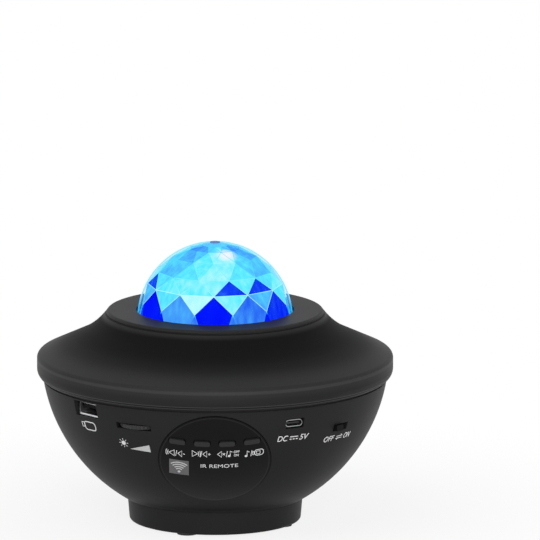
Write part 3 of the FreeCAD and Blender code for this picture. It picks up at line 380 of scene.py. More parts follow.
class Graph:
    """A material's node tree."""

    def __init__(self, name):
        self.material = bpy.data.materials.new(name)
        self.material.use_nodes = True
        self.tree = self.material.node_tree
        self.tree.nodes.clear()
        self.output = self.tree.nodes.new("ShaderNodeOutputMaterial")

    def feed(self, socket, value):
        """Links a socket to another one, or sets its value."""
        if isinstance(value, Socket):
            self.tree.links.new(value.end, socket)
        else:
            socket.default_value = value

    def node(self, kind, settings=None, inputs=None, output=0):
        """A node of a kind with its settings first, then its inputs. Gives the output asked for."""
        made = self.tree.nodes.new(kind)
        for name, value in (settings or {}).items():
            if name == "stops":
                elements = made.color_ramp.elements
                elements[0].position, elements[0].color = value[0]
                elements[1].position, elements[1].color = value[-1]
                for place, colour in value[1:-1]:
                    elements.new(place).color = colour
            else:
                setattr(made, name, value)
        for name, value in (inputs or {}).items():
            self.feed(made.inputs[name], value)
        return Socket(self, made.outputs[output])

    def maths(self, operation, *values):
        return self.node("ShaderNodeMath", {"operation": operation}, dict(enumerate(values)))

    def place(self):
        return self.node("ShaderNodeTexCoord", output="Object")

    def ray(self, kind):
        return self.node("ShaderNodeLightPath", output=kind)

    def along(self, axis):
        """One of the place's coordinates, in millimetres."""
        return self.node("ShaderNodeSeparateXYZ", None, {0: self.place()}, axis) * 1000.0

    def off_axis(self):
        """Distance from the upright axis, in millimetres."""
        flatten = {"Vector": self.place(), "Scale": (1000.0, 1000.0, 0.0)}
        flat = self.node("ShaderNodeMapping", None, flatten)
        return self.node("ShaderNodeVectorMath", {"operation": "LENGTH"}, {0: flat}, "Value")

    def away_from(self, point):
        """Distance from a point given in millimetres."""
        ends = {0: self.place(), 1: tuple(value * MM for value in point)}
        return self.node("ShaderNodeVectorMath", {"operation": "DISTANCE"}, ends, "Value") * 1000.0

    def noise(self, size, detail=2.0, stretch=(1.0, 1.0, 1.0)):
        """Soft noise from 0 to 1, with features of a size in millimetres, stretched along the axes."""
        scale = tuple(1.0 / value for value in stretch)
        place = self.node("ShaderNodeMapping", None, {"Vector": self.place(), "Scale": scale})
        values = {"Vector": place, "Scale": 1000.0 / size, "Detail": detail}
        return self.node("ShaderNodeTexNoise", None, values)

    def cells(self, size):
        """Distance from the middles of cells of a size in millimetres."""
        values = {"Vector": self.place(), "Scale": 1000.0 / size}
        return self.node("ShaderNodeTexVoronoi", None, values)

    def waves(self, distance, beat):
        """Even waves from 0 to 1 along a distance, with their beat in radians a millimetre."""
        return self.maths("SINE", distance * beat) * 0.5 + 0.5

    def blend(self, factor, first, second):
        """The first colour where the factor is 0 and the second where it is 1."""
        return self.node("ShaderNodeMix", {"data_type": "RGBA"}, {0: factor, 6: first, 7: second}, 2)

    def shade(self, colour, amount, factor):
        """A colour and a lighter or darker one of its kind, blended by a factor."""
        other = tuple(min(1.0, value * amount) for value in colour[:3]) + (1.0,)
        return self.blend(factor, tuple(colour[:3]) + (1.0,), other)

    def ramp(self, factor, stops):
        return self.node("ShaderNodeValToRGB", {"stops": stops}, {0: factor})

    def bump(self, height, depth):
        """A bumpy normal from a height, of which 1 stands for a depth in metres."""
        return self.node("ShaderNodeBump", None, {"Height": height, "Distance": depth}, "Normal")

    def shader(self, colour, roughness, **inputs):
        """A Principled shader. Other inputs have their own names, with low lines for the spaces."""
        named = {name.replace("_", " "): value for name, value in inputs.items()}
        named["Base Color"] = colour
        named["Roughness"] = roughness
        return self.node("ShaderNodeBsdfPrincipled", None, named, "BSDF")

    def finish(self, shader):
        self.tree.links.new(shader.end, self.output.inputs["Surface"])
        return self.material

    def shine(self, paint, roughness):
        """Finishes a surface that shines in its own colour and mirrors nothing."""
        dim = self.blend(0.96, paint, BLACK)
        glow = {"Emission_Color": paint, "Emission_Strength": 1.0, "Specular_IOR_Level": 0.0}
        return self.finish(self.shader(dim, roughness, **glow))


# Finishes
def moulded(name, colour, roughness, grain, depth, gloss=0.3):
    """Moulded plastic: a fine grain, faint flow marks and a roughness that drifts."""
    graph = Graph(name)
    fine = graph.noise(grain, 2.0)
    flow = graph.noise(26.0, 2.0, (1.0, 1.0, 0.35))
    speck = graph.noise(grain * 0.5, 1.0)
    paint = graph.shade(colour, 1.22, flow * 0.7 + speck * 0.3)
    rough = roughness - 0.05 + flow * 0.06 + fine * 0.04
    normal = graph.bump(fine * 0.7 + speck * 0.3, depth)
    return graph.finish(graph.shader(paint, rough, Normal=normal, Specular_IOR_Level=gloss))


def shell_plastic(look):
    """The housing's soft black plastic, with painted shade in its hollow under the collar and towards the
    bowl's foot, and fine lines of painted shade and painted highlight along its edges and seams.
    """
    graph = Graph("shell_plastic")
    fine = graph.noise(0.34, 2.0)
    speck = graph.noise(0.16, 1.0)
    flow = graph.noise(34.0, 2.0, (1.0, 1.0, 0.3))
    height = graph.along("Z")
    distance = graph.off_axis()
    # Painted shade: the flare's hollow under the collar is painted near black
    shaded_flare = height.rise(78.5, 91.0) * (1 - height.rise(96.8, 99.2))
    # Painted shade: the bowl is painted darker towards its foot
    shaded_bowl_foot = (1 - height.rise(8.0, 66.0)) * distance.rise(44.0, 46.0)
    # Painted light: the shoulder's outer edge is painted lighter
    lit_shoulder_edge = distance.rise(70.0, 80.0) * height.rise(74.0, 77.0)
    # Painted shade in the groove under the collar step, in the seam and in the gap round the panel; the same
    # lines are cut into the relief
    collar_step_shade = height.band(COLLAR_STEP_HEIGHT, 0.16, 0.14) * distance.band(COLLAR_STEP_RADIUS, 1.1, 0.3)
    rim = distance.rise(75.0, 76.0)
    lip_shade = height.band(LIP_HEIGHT, 0.1, 0.14) * rim
    # Painted highlights on the seam's two edges, which also stand as ridges in the relief, and along the
    # rim's top edge
    lip_ridge_highlight = (height.band(LIP_HEIGHT + 0.55, 0.1, 0.16) + height.band(LIP_HEIGHT - 0.55, 0.1, 0.16)) * rim
    rim_edge_highlight = height.band(RIM_TOP, 0.4, 0.7) * distance.rise(80.0, 82.0)
    panel_gap_shade = graph.away_from(PANEL_PLACE).band(PANEL_GAP_RADIUS, 0.06, 0.12)
    shaded_grooves = collar_step_shade + lip_shade + panel_gap_shade * 0.5
    paint = graph.shade(look.shell_colour, 1.18, flow * 0.75 + speck * 0.25)
    paint = graph.blend(shaded_flare * 0.93, paint, NEAR_BLACK)
    paint = graph.blend(shaded_bowl_foot * 0.75, paint, (0.002, 0.002, 0.002, 1.0))
    paint = graph.blend(lit_shoulder_edge * 0.5, paint, (0.028, 0.028, 0.028, 1.0))
    paint = graph.blend(lip_ridge_highlight * 0.7 + rim_edge_highlight * 0.4, paint, (0.06, 0.06, 0.06, 1.0))
    paint = graph.blend(shaded_grooves * 0.85, paint, NEAR_BLACK)
    rough = look.shell_roughness - 0.04 + flow * 0.05 + fine * 0.03 + shaded_flare * 0.22
    # The relief is twelve times as deep as the grain, which takes a small share of it beside the lines
    relief = (fine * 0.7 + speck * 0.3) * 0.08 + lip_ridge_highlight * 0.3 - shaded_grooves * 0.7
    normal = graph.bump(relief, look.grain_depth * 12)
    return graph.finish(graph.shader(paint, rough, Normal=normal, Specular_IOR_Level=0.08))


def panel_plastic(look):
    """The control panel: satin black with a faint wave in its gloss and a fine painted highlight inside its
    edge.
    """
    graph = Graph("panel_plastic")
    peel = graph.noise(1.6, 2.0)
    wipe = graph.noise(7.0, 3.0, (3.0, 1.0, 1.0))
    paint = graph.shade(look.panel_colour, 1.5, wipe)
    # Painted highlight: a fine lighter line on the bevel inside the panel's edge
    bevel = graph.away_from(PANEL_PLACE).band(PANEL_BEVEL_RADIUS, 0.14, 0.16)
    paint = graph.blend(bevel * 0.4, paint, (0.03, 0.03, 0.03, 1.0))
    rough = 0.27 + wipe * 0.08 + peel * 0.03
    normal = graph.bump(peel, 0.003 * MM)
    return graph.finish(graph.shader(paint, rough, Normal=normal, Specular_IOR_Level=0.1))


def window_plastic(look):
    """The receiver's smoked window."""
    graph = Graph("window_plastic")
    cloud = graph.noise(3.0, 2.0)
    fine = graph.noise(0.4, 1.0)
    paint = graph.shade(look.window_colour, 1.25, cloud)
    return graph.finish(graph.shader(paint, 0.36 + fine * 0.08, Normal=graph.bump(fine, 0.004 * MM)))


def ink(name, colour):
    """Screen-printed ink, a little thin in places."""
    graph = Graph(name)
    mesh = graph.noise(0.22, 2.0)
    thin = graph.noise(1.4, 2.0)
    paint = graph.shade(colour, 0.82, thin * 0.6 + mesh * 0.4)
    return graph.finish(graph.shader(paint, 0.5 + mesh * 0.12, Normal=graph.bump(mesh, 0.006 * MM)))


def dome_plastic():
    """The dome's clear plastic: a cyan film near its outline that glows with painted light, and a dark ringed
    gate mark on top.
    """
    graph = Graph("dome_plastic")
    ripple = graph.noise(6.0, 2.0, (1.0, 1.0, 2.0))
    facing = graph.node("ShaderNodeLayerWeight", None, {"Blend": 0.5}, "Facing")
    distance = graph.off_axis()
    top = graph.along("Z").rise(DOME_TOP, DOME_TOP + 0.3)
    gate = (1 - distance.rise(2.3, 2.6)) * top
    ring = distance.band(2.0, 0.4, 0.2) * top
    film = facing.rise(0.68, 0.95) * 0.85 + ripple * 0.012
    paint = graph.blend(ripple, (0.02, 0.20, 0.42, 1.0), (0.06, 0.34, 0.60, 1.0))
    paint = graph.blend(gate, paint, (0.02, 0.08, 0.25, 1.0))
    # Painted light: the shell glows cyan as if lit from within, dimmer at the gate mark and darker on its
    # ring
    glow = graph.blend(gate, (0.03, 0.40, 0.74, 1.0), (0.0, 0.06, 0.24, 1.0))
    glow = graph.blend(ring, glow, (0.0, 0.0, 0.05, 1.0))
    inputs = {"Alpha": film + gate * 0.8, "Emission_Color": glow, "Emission_Strength": 1.0}
    return graph.finish(graph.shader(paint, 0.08 + ripple * 0.04, Specular_IOR_Level=0.02, **inputs))


def dome_tones(look):
    """The stops of the ramp from a facet's tone to its colour."""
    colours = (look.deep, look.royal, look.azure, look.cyan, look.pale)
    return [(place, tuple(colour)) for place, colour in zip((0.12, 0.28, 0.5, 0.75, 1.0), colours)]


def lit_facets(look):
    """Light on the dome's facets: one tone a facet, streaked, with a pale painted highlight high in front."""
    graph = Graph("lit_facets")
    tone = graph.node("ShaderNodeAttribute", {"attribute_name": "tone"}, None, "Fac")
    streaks = graph.noise(2.6, 2.0, (1.0, 1.0, 5.0))
    drift = graph.noise(11.0, 2.0)
    tone = tone + (streaks - 0.5) * 0.26 + (drift - 0.5) * 0.2
    paint = graph.ramp(tone, dome_tones(look))
    # Painted highlight: a pale pink glare high in front
    glare_highlight = 1 - graph.away_from((5.2, -11.7, 128.4)).rise(1.5, 6.5)
    paint = graph.blend(glare_highlight * 0.85, paint, (1.0, 0.88, 0.95, 1.0))
    return graph.shine(paint, 0.5 + drift * 0.1)


def lit_edges(look):
    """The lines along the facets' edges: brightest low on the dome, and near their facet's tone above."""
    graph = Graph("lit_edges")
    spark = graph.noise(5.0, 2.0)
    tone = graph.node("ShaderNodeAttribute", {"attribute_name": "tone"}, None, "Fac")
    height = graph.along("Z")
    low = height.rise(103.0, 106.0) * (1 - height.rise(113.0, 119.0)) * 0.8 + 0.08
    tone = tone + (0.98 - tone) * low - height.rise(127.0, 129.5) * 0.1 + (spark - 0.5) * 0.24
    return graph.shine(graph.ramp(tone, dome_tones(look)), 0.5 + spark * 0.1)


def worked_metal(name, colour, roughness, grain, stretch, depth=0.004):
    """Bare metal with fine stretched marks."""
    graph = Graph(name)
    marks = graph.noise(grain, 3.0, stretch)
    stain = graph.noise(9.0, 2.0)
    paint = graph.shade(colour, 0.78, marks * 0.6 + stain * 0.4)
    rough = roughness + marks * 0.14 + stain * 0.05
    return graph.finish(graph.shader(paint, rough, Metallic=1.0, Normal=graph.bump(marks, depth * MM)))


def circuit_board(name, mask, trace):
    """Solder mask over faint copper tracks, with small plated pads."""
    graph = Graph(name)
    grid = {"Vector": graph.place(), "Scale": 420.0, "Mortar Size": 0.02, "Brick Width": 0.9}
    tracks = graph.node("ShaderNodeTexBrick", None, grid, "Fac")
    pads = 1 - graph.cells(3.4).rise(0.10, 0.13)
    weave = graph.noise(0.5, 2.0)
    paint = graph.shade(mask, 1.3, weave)
    paint = graph.blend(tracks * 0.55, paint, trace)
    paint = graph.blend(pads, paint, (0.62, 0.60, 0.56, 1.0))
    relief = tracks * 0.4 + pads * 0.6
    normal = graph.bump(relief, 0.02 * MM)
    return graph.finish(graph.shader(paint, 0.34 - pads * 0.1, Normal=normal))


def chip_plastic():
    """Moulded chip cases with paler patches."""
    graph = Graph("chip_plastic")
    fine = graph.noise(0.25, 2.0)
    patch = graph.noise(2.5, 2.0)
    paint = graph.shade((0.016, 0.016, 0.017), 1.8, patch)
    return graph.finish(graph.shader(paint, 0.5 + fine * 0.15, Normal=graph.bump(fine, 0.008 * MM)))


def can_metal():
    """Capacitor cans: a dark sleeve below a bare top."""
    graph = Graph("can_metal")
    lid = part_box("board_capacitors")[1].z / MM
    top = graph.along("Z").rise(lid - 0.35, lid - 0.2)
    marks = graph.noise(0.6, 2.0, (1.0, 1.0, 4.0))
    sleeve = graph.shade((0.012, 0.014, 0.03), 1.5, marks)
    paint = graph.blend(top, sleeve, (0.62, 0.63, 0.65, 1.0))
    return graph.finish(graph.shader(paint, 0.42 - top * 0.12 + marks * 0.06, Metallic=top))


def led_glow():
    """Lamp chips: phosphor, lit blue."""
    graph = Graph("led_glow")
    grain = graph.noise(0.3, 2.0)
    paint = graph.shade((0.85, 0.75, 0.25), 0.8, grain)
    glow = graph.blend(grain, (0.15, 0.55, 1.0, 1.0), (0.3, 0.7, 1.0, 1.0))
    rough = 0.4 + grain * 0.1
    return graph.finish(graph.shader(paint, rough, Emission_Color=glow, Emission_Strength=1.0))


def clear_lens():
    """Clear optics with a faint ripple."""
    graph = Graph("clear_lens")
    ripple = graph.noise(3.0, 2.0)
    paint = graph.shade((0.80, 0.93, 1.0), 0.9, ripple)
    rough = 0.06 + ripple * 0.04
    normal = graph.bump(ripple, 0.05 * MM)
    return graph.finish(graph.shader(paint, rough, Alpha=0.30 + ripple * 0.1, Normal=normal))


def ferrite():
    """Ground ferrite: dark grey with small bright grains."""
    graph = Graph("ferrite")
    grain = graph.cells(0.35)
    paint = graph.shade((0.035, 0.035, 0.04), 1.9, grain)
    return graph.finish(graph.shader(paint, 0.42 + grain * 0.2, Normal=graph.bump(grain, 0.01 * MM)))


def paper_cone():
    """The loudspeaker's paper, with fibres and faint rings."""
    graph = Graph("paper_cone")
    fibre = graph.noise(0.5, 4.0, (3.0, 1.0, 1.0))
    rings = graph.waves(graph.off_axis(), 4.0)
    paint = graph.shade((0.035, 0.034, 0.033), 1.7, fibre)
    relief = fibre * 0.6 + rings * 0.4
    return graph.finish(graph.shader(paint, 0.8 + fibre * 0.1, Normal=graph.bump(relief, 0.03 * MM)))


def foam():
    """Open foam: small pores."""
    graph = Graph("foam")
    pores = graph.cells(0.45)
    paint = graph.shade((0.02, 0.02, 0.021), 2.0, pores)
    return graph.finish(graph.shader(paint, 0.9 - pores * 0.1, Normal=graph.bump(pores, 0.08 * MM)))


def wound_wire():
    """Enamelled copper wire, one turn beside the other."""
    graph = Graph("wound_wire")
    turns = graph.waves(graph.along("Z"), 26.0)
    stain = graph.noise(1.5, 2.0)
    paint = graph.shade((0.56, 0.22, 0.09), 0.6, turns * 0.6 + stain * 0.4)
    normal = graph.bump(turns, 0.04 * MM)
    return graph.finish(graph.shader(paint, 0.3 + stain * 0.1, Metallic=1.0, Normal=normal))


def foot_rubber():
    """Rubber feet, dusty and finely pitted."""
    graph = Graph("foot_rubber")
    pits = graph.noise(0.3, 3.0)
    dust = graph.noise(4.0, 3.0)
    paint = graph.shade((0.016, 0.016, 0.016), 2.2, dust)
    return graph.finish(graph.shader(paint, 0.78 + pits * 0.1, Normal=graph.bump(pits, 0.02 * MM)))


def wear(finish, material):
    """Gives a material to every CAD node that wears a finish."""
    for name in FINISHES[finish]:
        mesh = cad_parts[name].data
        if mesh.materials:
            mesh.materials[0] = material
        else:
            mesh.materials.append(material)


# Modelling
def pick(*pieces):
    """Selects only these pieces and makes the first one active."""
    bpy.ops.object.select_all(action="DESELECT")
    for piece in pieces:
        piece.select_set(True)
    bpy.context.view_layer.objects.active = pieces[0]


def select_faces(piece, wanted):
    """Selects, in edit mode, the faces that the test wants."""
    bpy.ops.mesh.select_mode(type="FACE")
    bpy.ops.mesh.select_all(action="DESELECT")
    mesh = bmesh.from_edit_mesh(piece.data)
    for face in mesh.faces:
        if wanted(face):
            face.select_set(True)
    bmesh.update_edit_mesh(piece.data)


def carry(piece, name, slot, *materials):
    """Names a finished piece, gives it its materials and lets it ride on the casing."""
    piece.name = name
    piece.data.name = name
    for index, material in enumerate(materials):
        if index < len(piece.data.materials):
            piece.data.materials[index] = material
        else:
            piece.data.materials.append(material)
    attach(piece, "casing")


def on_panel(lift):
    """Where a flat point goes on the control panel's curved face."""
    radius = PANEL_CURVE + PANEL_PROUD + lift / MM

    def place(across, up):
        across, up = across / MM, up / MM
        rise = math.sqrt(radius * radius - across * across - up * up) - PANEL_CURVE
        point = PANEL_PLACE + Vector((across, 0, 0)) + PANEL_UP * up + PANEL_OUT * rise
        return point * MM

    return place


def on_bowl(azimuth, height, lift):
    """Where a flat point goes on the bowl round a place given by azimuth and height."""
    curve = BOWL_CURVE + lift / MM
    slope = math.asin((height - BOWL_CENTRE) / BOWL_CURVE)
    distance = BOWL_OFFSET + BOWL_CURVE * math.cos(slope)

    def place(across, up):
        turn = math.radians(azimuth) + across / MM / distance
        rise = slope + up / MM / BOWL_CURVE
        radius = BOWL_OFFSET + curve * math.cos(rise)
        level = BOWL_CENTRE + curve * math.sin(rise)
        return Vector((radius * math.sin(turn), -radius * math.cos(turn), level)) * MM

    return place


def offset_path(points, distance, closed):
    """Points moved sideways by a distance, with mitred corners kept short where they would be long."""
    least_square = 0.35
    count = len(points)
    moved = []
    for index, point in enumerate(points):
        steps = []
        if closed or index:
            steps.append((point - points[index - 1]).normalized())
        if closed or index < count - 1:
            steps.append((points[(index + 1) % count] - point).normalized())
        sides = [Vector((-step.y, step.x)) for step in steps]
        side = sum(sides, Vector((0, 0))) / len(sides)
        moved.append(point + side * (distance / max(least_square, side.length_squared)))
    return moved


def arc(x, y, radius, start, end, count):
    """Points on an arc, with its angles in degrees from the right."""
    turns = [math.radians(start + (end - start) * index / count) for index in range(count + 1)]
    return [Vector((x + radius * math.cos(turn), y + radius * math.sin(turn))) for turn in turns]


def rounded_box(x, y, across, up, corner):
    """Points round a box whose middle is at x and y, with rounded corners of a few steps each."""
    steps = 5
    right, top = x + across / 2 - corner, y + up / 2 - corner
    left, low = x - across / 2 + corner, y - up / 2 + corner
    points = []
    for index, (side, level) in enumerate(((right, top), (left, top), (left, low), (right, low))):
        points += arc(side, level, corner, index * 90, index * 90 + 90, steps)
    return points


class Stencil:
    """Flat shapes of one print, in millimetres across and up, made mesh and wrapped onto a surface."""

    def __init__(self):
        self.shapes = []

    def cut(self, *outlines):
        """A filled shape. An outline inside another one is a hole."""
        data = bpy.data.curves.new("stencil", "CURVE")
        data.dimensions = "2D"
        data.fill_mode = "BOTH"
        for outline in outlines:
            spline = data.splines.new("POLY")
            spline.points.add(len(outline) - 1)
            spline.use_cyclic_u = True
            for knot, point in zip(spline.points, outline):
                knot.co = (point.x * MM, point.y * MM, 0, 1)
        shape = bpy.data.objects.new("stencil", data)
        bpy.context.scene.collection.objects.link(shape)
        self.add(shape)

    def add(self, shape):
        """Makes a curve or a text mesh and keeps it."""
        pick(shape)
        bpy.ops.object.convert(target="MESH")
        self.shapes.append(bpy.context.view_layer.objects.active)

    def line(self, points, width, closed=False):
        """A line of a width along points."""
        points = [Vector(point) for point in points]
        left = offset_path(points, width / 2, closed)
        right = offset_path(points, -width / 2, closed)
        if closed:
            self.cut(left, right)
        else:
            self.cut(left + right[::-1])

    def disc(self, x, y, radius):
        self.cut(arc(x, y, radius, 0, 345, 23))

    def bar(self, x, y, across, up):
        self.cut(rounded_box(x, y, across, up, min(across, up) * 0.2))

    def letters(self, words, x, y, width, height, slant=0.0, bold=0.0):
        """Lettering fitted to a box whose middle is at x and y."""
        bpy.ops.object.select_all(action="DESELECT")
        bpy.ops.object.text_add()
        text = bpy.context.view_layer.objects.active
        text.data.body = words
        text.data.shear = slant
        text.data.offset = bold
        self.add(text)
        mesh = self.shapes[-1].data
        xs = [vertex.co.x for vertex in mesh.vertices]
        ys = [vertex.co.y for vertex in mesh.vertices]
        for vertex in mesh.vertices:
            across = (vertex.co.x - min(xs)) / (max(xs) - min(xs)) - 0.5
            up = (vertex.co.y - min(ys)) / (max(ys) - min(ys)) - 0.5
            vertex.co = ((x + across * width) * MM, (y + up * height) * MM, 0)

    def wrap(self, name, place, look, material):
        """Joins the shapes, cuts them into short steps, lays them on the surface and thickens them."""
        pick(*self.shapes)
        if len(self.shapes) > 1:
            bpy.ops.object.join()
        piece = bpy.context.view_layer.objects.active
        corners = [vertex.co.copy() for vertex in piece.data.vertices]
        bpy.ops.object.mode_set(mode="EDIT")
        for axis, normal in enumerate(((1, 0, 0), (0, 1, 0))):
            low = min(corner[axis] for corner in corners)
            high = max(corner[axis] for corner in corners)
            for index in range(1, math.ceil((high - low) / look.step)):
                spot = [0, 0, 0]
                spot[axis] = low + index * look.step
                bpy.ops.mesh.select_all(action="SELECT")
                bpy.ops.mesh.bisect(plane_co=spot, plane_no=normal)
        bpy.ops.mesh.select_all(action="SELECT")
        bpy.ops.mesh.remove_doubles(threshold=0.004 * MM)
        select_faces(piece, lambda face: face.normal.z < 0)
        bpy.ops.mesh.flip_normals()
        bpy.ops.object.mode_set(mode="OBJECT")
        for vertex in piece.data.vertices:
            vertex.co = place(vertex.co.x, vertex.co.y)
        thicken = piece.modifiers.new("thicken", "SOLIDIFY")
        thicken.thickness = look.thickness
        thicken.offset = -1
        bpy.ops.object.modifier_apply(modifier="thicken")
        carry(piece, name, "keys", material)
        return piece


def facet_corner(ring, index):
    """A facet's corner on a ring of a latitude and shift, in millimetres from the dome's centre."""
    latitude = math.radians(ring[0])
    turn = math.radians(DOME_TWIST + (index + ring[1]) * 360 / FACETS_ROUND)
    out = DOME_CORNER * math.cos(latitude)
    return Vector((out * math.sin(turn), -out * math.cos(turn), DOME_CORNER * math.sin(latitude)))


def foot_corners(index):
    """The two low corners of a pentagon."""
    left, right = facet_corner(VALLEYS, index - 1), facet_corner(VALLEYS, index)
    peak, middle = facet_corner(PEAKS, index), (left + right) / 2
    foot = peak + (middle - peak) * ((DOME_BOTTOM - peak.z) / (middle.z - peak.z))
    half = (right - left).normalized() * foot.length * math.tan(math.radians(FOOT_HALF_ANGLE))
    return foot - half, foot + half


def facets():
    """Every facet as its row, its azimuth in degrees and three of its corners."""
    found = []
    step = 360 / FACETS_ROUND
    rings = (PEAKS,) + UPPER_RINGS
    for index in range(FACETS_ROUND):
        left, right = facet_corner(VALLEYS, index - 1), facet_corner(VALLEYS, index)
        peak, next_peak = facet_corner(PEAKS, index), facet_corner(PEAKS, index + 1)
        here, beside = DOME_TWIST + index * step, DOME_TWIST + (index + 0.5) * step
        found.append(("pentagon", here, (peak, right, left)))
        found.append(("foot", beside, (right, foot_corners(index + 1)[0], foot_corners(index)[1])))
        found.append(("point", beside, (right, peak, next_peak)))
        for level, (lower, upper) in enumerate(zip(rings, rings[1:])):
            apex = index if level % 2 == 0 else index + 1
            start, end = facet_corner(lower, index), facet_corner(lower, index + 1)
            top, top_before = facet_corner(upper, apex), facet_corner(upper, apex - 1)
            place = DOME_TWIST + (index + lower[1]) * step
            found.append(("peak%d" % level, place + step / 2, (start, end, top)))
            found.append(("fall%d" % level, place, (start, top, top_before)))
    table = [facet_corner(UPPER_RINGS[-1], index) for index in (0, 4, 8)]
    found.append(("table", 0.0, tuple(table)))
    return found


def facet_normal(corners):
    """The direction in which a facet looks, away from the dome's centre."""
    normal = (corners[1] - corners[0]).cross(corners[2] - corners[0]).normalized()
    return normal if normal.dot(corners[0]) > 0 else -normal


def row_tone(row, azimuth):
    """The tone of a facet of a row, from 0 for the deepest blue to 1 for the palest cyan."""
    middle, swing, beats, start = ROW_LIGHT[row]
    return middle + swing * math.cos(math.radians(beats * (azimuth - start)))


# Operators
class PROJECTOR_OT_dress_outside(Operator):
    """Gives the parts that show from outside their plastics, rubber and metal"""

    bl_idname = "projector.dress_outside"
    bl_label = "Outside finishes"

    def execute(self, context):
        look = context.scene.projector_housing
        wear("housing", shell_plastic(look))
        wear("panel", panel_plastic(look))
        wear("keys", moulded("key_plastic", look.key_colour, 0.42, 0.3, 0.006 * MM))
        wear("dial", moulded("dial_plastic", (0.018, 0.018, 0.019), 0.5, 0.4, 0.01 * MM))
        wear("knob", moulded("knob_plastic", (0.003, 0.003, 0.003), 0.6, 0.4, 0.01 * MM, 0.1))
        wear("window", window_plastic(look))
        wear("dome", dome_plastic())
        wear("rubber", foot_rubber())
        wear("socket_metal", worked_metal("nickel", (0.82, 0.82, 0.84), 0.2, 0.35, (5.0, 5.0, 1.0)))
        wear("inlet_metal", worked_metal("dull_nickel", (0.45, 0.45, 0.46), 0.3, 0.35, (5.0, 5.0, 1.0)))
        return {"FINISHED"}


class PROJECTOR_OT_dress_inside(Operator):
    """Gives the boards, drive, optics and loudspeaker inside their finishes"""

    bl_idname = "projector.dress_inside"
    bl_label = "Inside finishes"

    def execute(self, context):
        wear("inner_black", moulded("inner_plastic", (0.022, 0.022, 0.023), 0.5, 0.5, 0.012 * MM))
        wear("deck", moulded("deck_plastic", (0.62, 0.62, 0.60), 0.45, 0.5, 0.01 * MM, 0.5))
        wear("gears", moulded("gear_plastic", (0.70, 0.69, 0.64), 0.36, 0.6, 0.006 * MM, 0.5))
        wear("steel", worked_metal("zinc_steel", (0.56, 0.56, 0.58), 0.3, 0.5, (1.0, 1.0, 3.0)))
        wear("motor", worked_metal("motor_can", (0.60, 0.58, 0.53), 0.34, 0.6, (1.0, 1.0, 6.0)))
        wear("sink", worked_metal("extruded_aluminium", (0.66, 0.67, 0.69), 0.36, 0.4, (1.0, 1.0, 9.0)))
        wear("board", circuit_board("green_board", (0.012, 0.12, 0.05), (0.03, 0.24, 0.09, 1.0)))
        wear("led_board", circuit_board("white_board", (0.78, 0.78, 0.76), (0.62, 0.62, 0.60, 1.0)))
        wear("chips", chip_plastic())
        wear("cans", can_metal())
        wear("led", led_glow())
        wear("lens", clear_lens())
        wear("brass", worked_metal("brass", (0.72, 0.50, 0.22), 0.24, 0.3, (1.0, 1.0, 0.3)))
        wear("ferrite", ferrite())
        wear("cone", paper_cone())
        wear("gasket", foam())
        wear("copper", wound_wire())
        return {"FINISHED"}


class PROJECTOR_OT_light_dome(Operator):
    """Cuts the lit film behind the dome's facets from a block, facet by facet, as a gem is cut"""

    bl_idname = "projector.light_dome"
    bl_label = "Lit dome"

    def execute(self, context):
        look = context.scene.projector_dome
        centre = Vector((0, 0, DOME_CENTRE))
        block = 90 * MM
        film_foot = 0.3
        bottom = (DOME_CENTRE + DOME_BOTTOM + film_foot) * MM
        bpy.ops.object.select_all(action="DESELECT")
        bpy.ops.mesh.primitive_cube_add(size=block, location=(0, 0, bottom + block / 2))
        piece = bpy.context.view_layer.objects.active
        bpy.ops.object.transform_apply(location=True, rotation=True, scale=True)
        planes = [(row, azimuth, facet_normal(corners), corners) for row, azimuth, corners in facets()]
        bpy.ops.object.mode_set(mode="EDIT")
        for row, azimuth, normal, corners in planes:
            spot = (centre + corners[0]) * MM - normal * look.film_gap
            bpy.ops.mesh.select_all(action="SELECT")
            bpy.ops.mesh.bisect(
                plane_co=spot, plane_no=normal, use_fill=True, clear_outer=True, threshold=0.001 * MM
            )
        bpy.ops.mesh.select_all(action="SELECT")
        bpy.ops.mesh.remove_doubles(threshold=0.01 * MM)
        select_faces(piece, lambda face: face.normal.z < -0.9)
        bpy.ops.mesh.delete(type="ONLY_FACE")
        bpy.ops.object.mode_set(mode="OBJECT")
        piece.data.materials.append(lit_facets(look))
        piece.data.materials.append(lit_edges(look))
        bpy.ops.object.mode_set(mode="EDIT")
        bpy.ops.mesh.select_mode(type="EDGE")
        bpy.ops.mesh.select_all(action="SELECT")
        bpy.ops.mesh.bevel(offset=look.edge_width, segments=1, affect="EDGES", material=1)
        bpy.ops.object.mode_set(mode="OBJECT")
        tones = piece.data.attributes.new("tone", "FLOAT", "FACE")
        margin = 0.001
        for polygon in piece.data.polygons:
            place = polygon.center / MM - centre
            # Facets that look the same way are told apart by their place
            facing = max(plane[2].dot(polygon.normal) for plane in planes) - margin
            alike = [plane for plane in planes if plane[2].dot(polygon.normal) >= facing]
            row, azimuth = min(alike, key=lambda plane: (sum(plane[3], Vector()) / 3 - place).length)[:2]
            tones.data[polygon.index].value = row_tone(row, azimuth)
        thicken = piece.modifiers.new("thicken", "SOLIDIFY")
        thicken.thickness = look.film_thickness
        thicken.offset = -1
        bpy.ops.object.modifier_apply(modifier="thicken")
        if len(piece.data.polygons) < 2 * len(planes):
            raise RuntimeError("the lit film has lost facets")
        carry(piece, "dome_lit_film", "dome", piece.data.materials[0], piece.data.materials[1])
        return {"FINISHED"}


